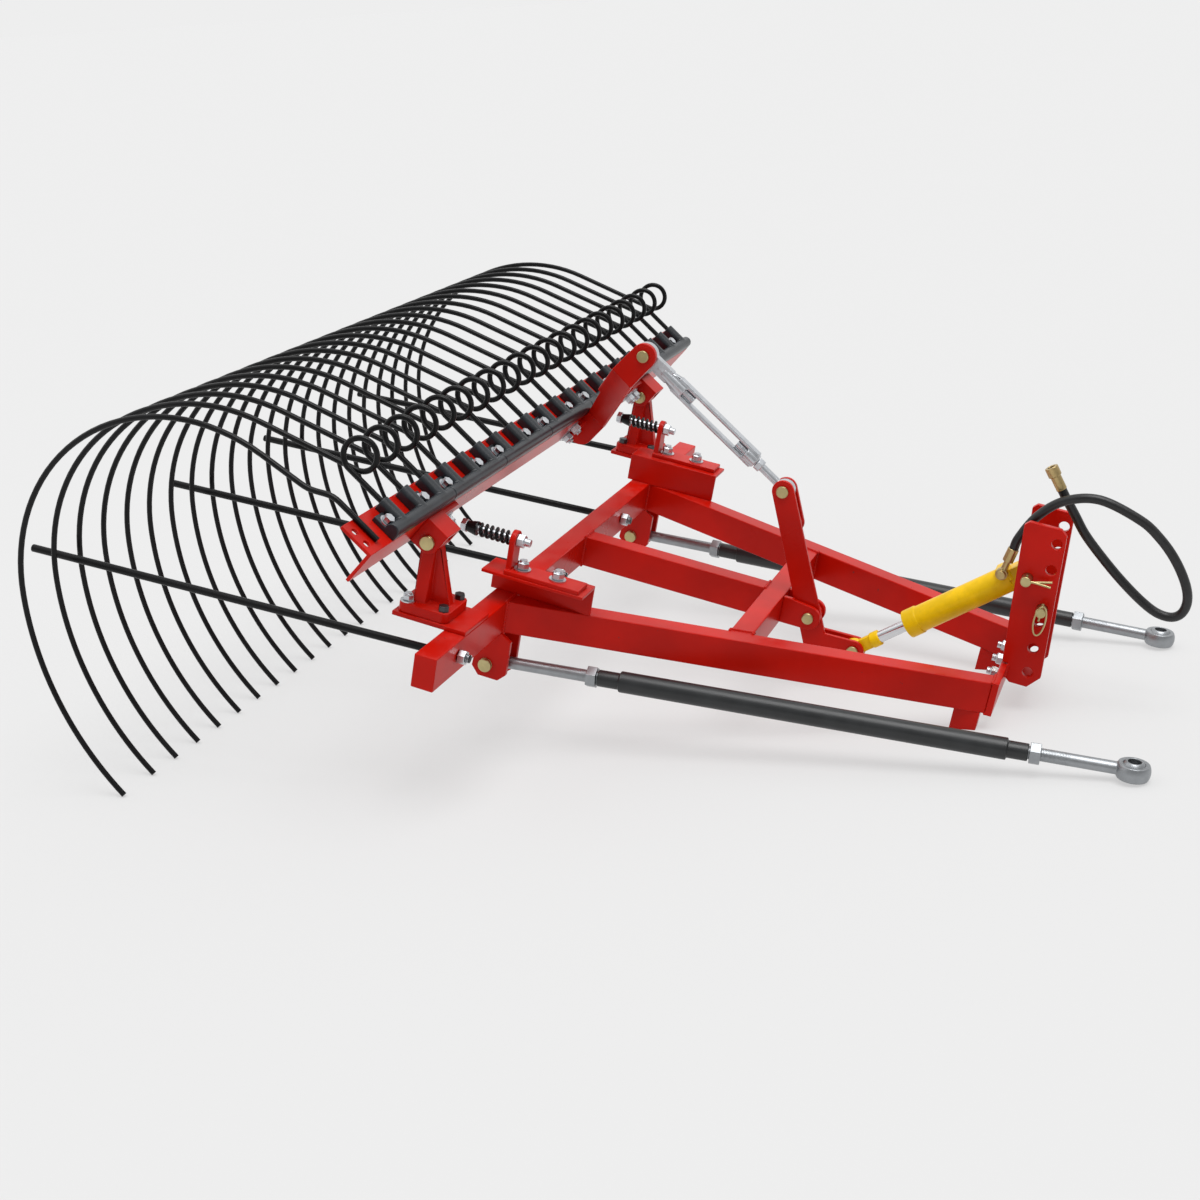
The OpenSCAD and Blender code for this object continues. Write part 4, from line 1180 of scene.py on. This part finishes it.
class HAYRAKE_OT_welds(Operator):
    """Lays weld beads along the seams of the frame and the tower"""

    bl_idname = "hay_rake.welds"
    bl_label = "Weld Beads"

    def execute(self, context):
        half_h, half_w = TUBE_H / 2, TUBE_W / 2
        runs = []

        def seam(*points):
            runs.append([from_frame(*p) for p in points])

        slope = (BEAM_REAR_Y - BEAM_FRONT_Y) / (FRAME_LEN - half_w)
        wide = half_w * math.sqrt(1 + slope * slope)
        for side in (-1, 1):
            for z in (-half_h, half_h):
                for x, y in ((half_w, BEAM_REAR_Y), (FRAME_LEN, BEAM_FRONT_Y)):
                    seam((x, side * (y - wide), z), (x, side * (y + wide), z))
            for y in (BEAM_REAR_Y - wide, BEAM_REAR_Y + wide):
                seam((half_w, side * y, -half_h), (half_w, side * y, half_h))
            for x in (MID_X - half_w, MID_X + half_w):
                y = BEAM_REAR_Y - (x - half_w) * slope - wide
                seam((x, side * y, -half_h), (x, side * y, half_h))
            y = BEAM_REAR_Y - (MID_X - half_w) * slope - wide
            seam((MID_X - half_w, side * y, half_h),
                 (MID_X + half_w, side * (y - TUBE_W * slope), half_h))
            for x in (half_w, MID_X - half_w):
                seam((x, side * half_w, -half_h), (x, side * half_w, half_h))
            for y in TOWER_FACES:
                seam((FRAME_LEN + FRONT_T, side * y, 9), (FRAME_LEN + FRONT_T, side * y, 31))
        for x in (half_w, MID_X - half_w):
            seam((x, -half_w, half_h), (x, half_w, half_h))
        placed(weld_beads("frame_welds", runs, trims().weld, finish_of(red_paint)), "frame")
        return {"FINISHED"}


class HAYRAKE_OT_clips(Operator):
    """Bends the split pins and the ring clip that hold the tower's pins"""

    bl_idname = "hay_rake.clips"
    bl_label = "Pin Clips"

    def execute(self, context):
        zinc = finish_of(pin_zinc)
        outside = Vector((0, -0.079, 0))
        near, base = HITCH_PIN + outside, BASE_PIN + outside
        up, ahead = frame_way(0, 0, 1), frame_way(1, 0, 0)
        ring = [near + up * (0.030 * math.cos(a) - 0.016) + ahead * (0.010 * math.sin(a) + 0.002)
                + Vector((0, -0.002 - 0.006 * math.cos(a), 0))
                for a in (math.tau * i / 40 for i in range(41))]
        placed(wires("hitch_ring_clip", [ring], 0.0017, zinc, 8), "frame")
        post = [near + up * 0.017, near - up * 0.017]
        legs = []
        for s in (-1, 1):
            tip = base + up * (0.005 + s * 0.004) + ahead * 0.044 + Vector((0, 0.003 * s, 0))
            legs.append(eased([base + up * 0.013, base, base + up * 0.001 + ahead * 0.012, tip], 6))
        placed(wires("tower_split_pins", [post] + legs, 0.0022, zinc, 8), "frame")
        return {"FINISHED"}


class HAYRAKE_PT_panel(Panel):
    """Sizes, colours and steps of the hay rake"""

    bl_idname = "HAYRAKE_PT_panel"
    bl_label = "Hay Rake"
    bl_space_type = "VIEW_3D"
    bl_region_type = "UI"
    bl_category = "Hay Rake"

    def draw(self, context):
        scene = context.scene
        for group in (scene.hay_rake_paints, scene.hay_rake_tines, scene.hay_rake_trims):
            box = self.layout.box()
            for key in group.__annotations__:
                box.prop(group, key)
        for step in STEPS:
            self.layout.operator(step.bl_idname)


GROUPS = (
    (HayRakePaints, "hay_rake_paints"), (HayRakeTines, "hay_rake_tines"), (HayRakeTrims, "hay_rake_trims"),
)
STEPS = (
    HAYRAKE_OT_stage, HAYRAKE_OT_hose, HAYRAKE_OT_frame_tubes, HAYRAKE_OT_frame_plates,
    HAYRAKE_OT_hinge_posts, HAYRAKE_OT_spring_stops, HAYRAKE_OT_hitch_tower, HAYRAKE_OT_stripper_rods,
    HAYRAKE_OT_tine_bar, HAYRAKE_OT_tine_holders, HAYRAKE_OT_coil_tines, HAYRAKE_OT_lift_linkage,
    HAYRAKE_OT_lift_cylinder, HAYRAKE_OT_lower_links, HAYRAKE_OT_fasteners, HAYRAKE_OT_welds,
    HAYRAKE_OT_clips,
)


def register():
    for group, name in GROUPS:
        bpy.utils.register_class(group)
        setattr(bpy.types.Scene, name, PointerProperty(type=group))
    for step in STEPS:
        bpy.utils.register_class(step)
    bpy.utils.register_class(HAYRAKE_PT_panel)


def unregister():
    bpy.utils.unregister_class(HAYRAKE_PT_panel)
    for step in reversed(STEPS):
        bpy.utils.unregister_class(step)
    for group, name in reversed(GROUPS):
        delattr(bpy.types.Scene, name)
        bpy.utils.unregister_class(group)


def main():
    register()
    for old in [o for o in bpy.data.objects if o.type in {"LIGHT", "CAMERA"}]:
        bpy.data.objects.remove(old)
    for step in STEPS:
        group, name = step.bl_idname.split(".")
        getattr(getattr(bpy.ops, group), name)()


if __name__ == "__main__":
    main()
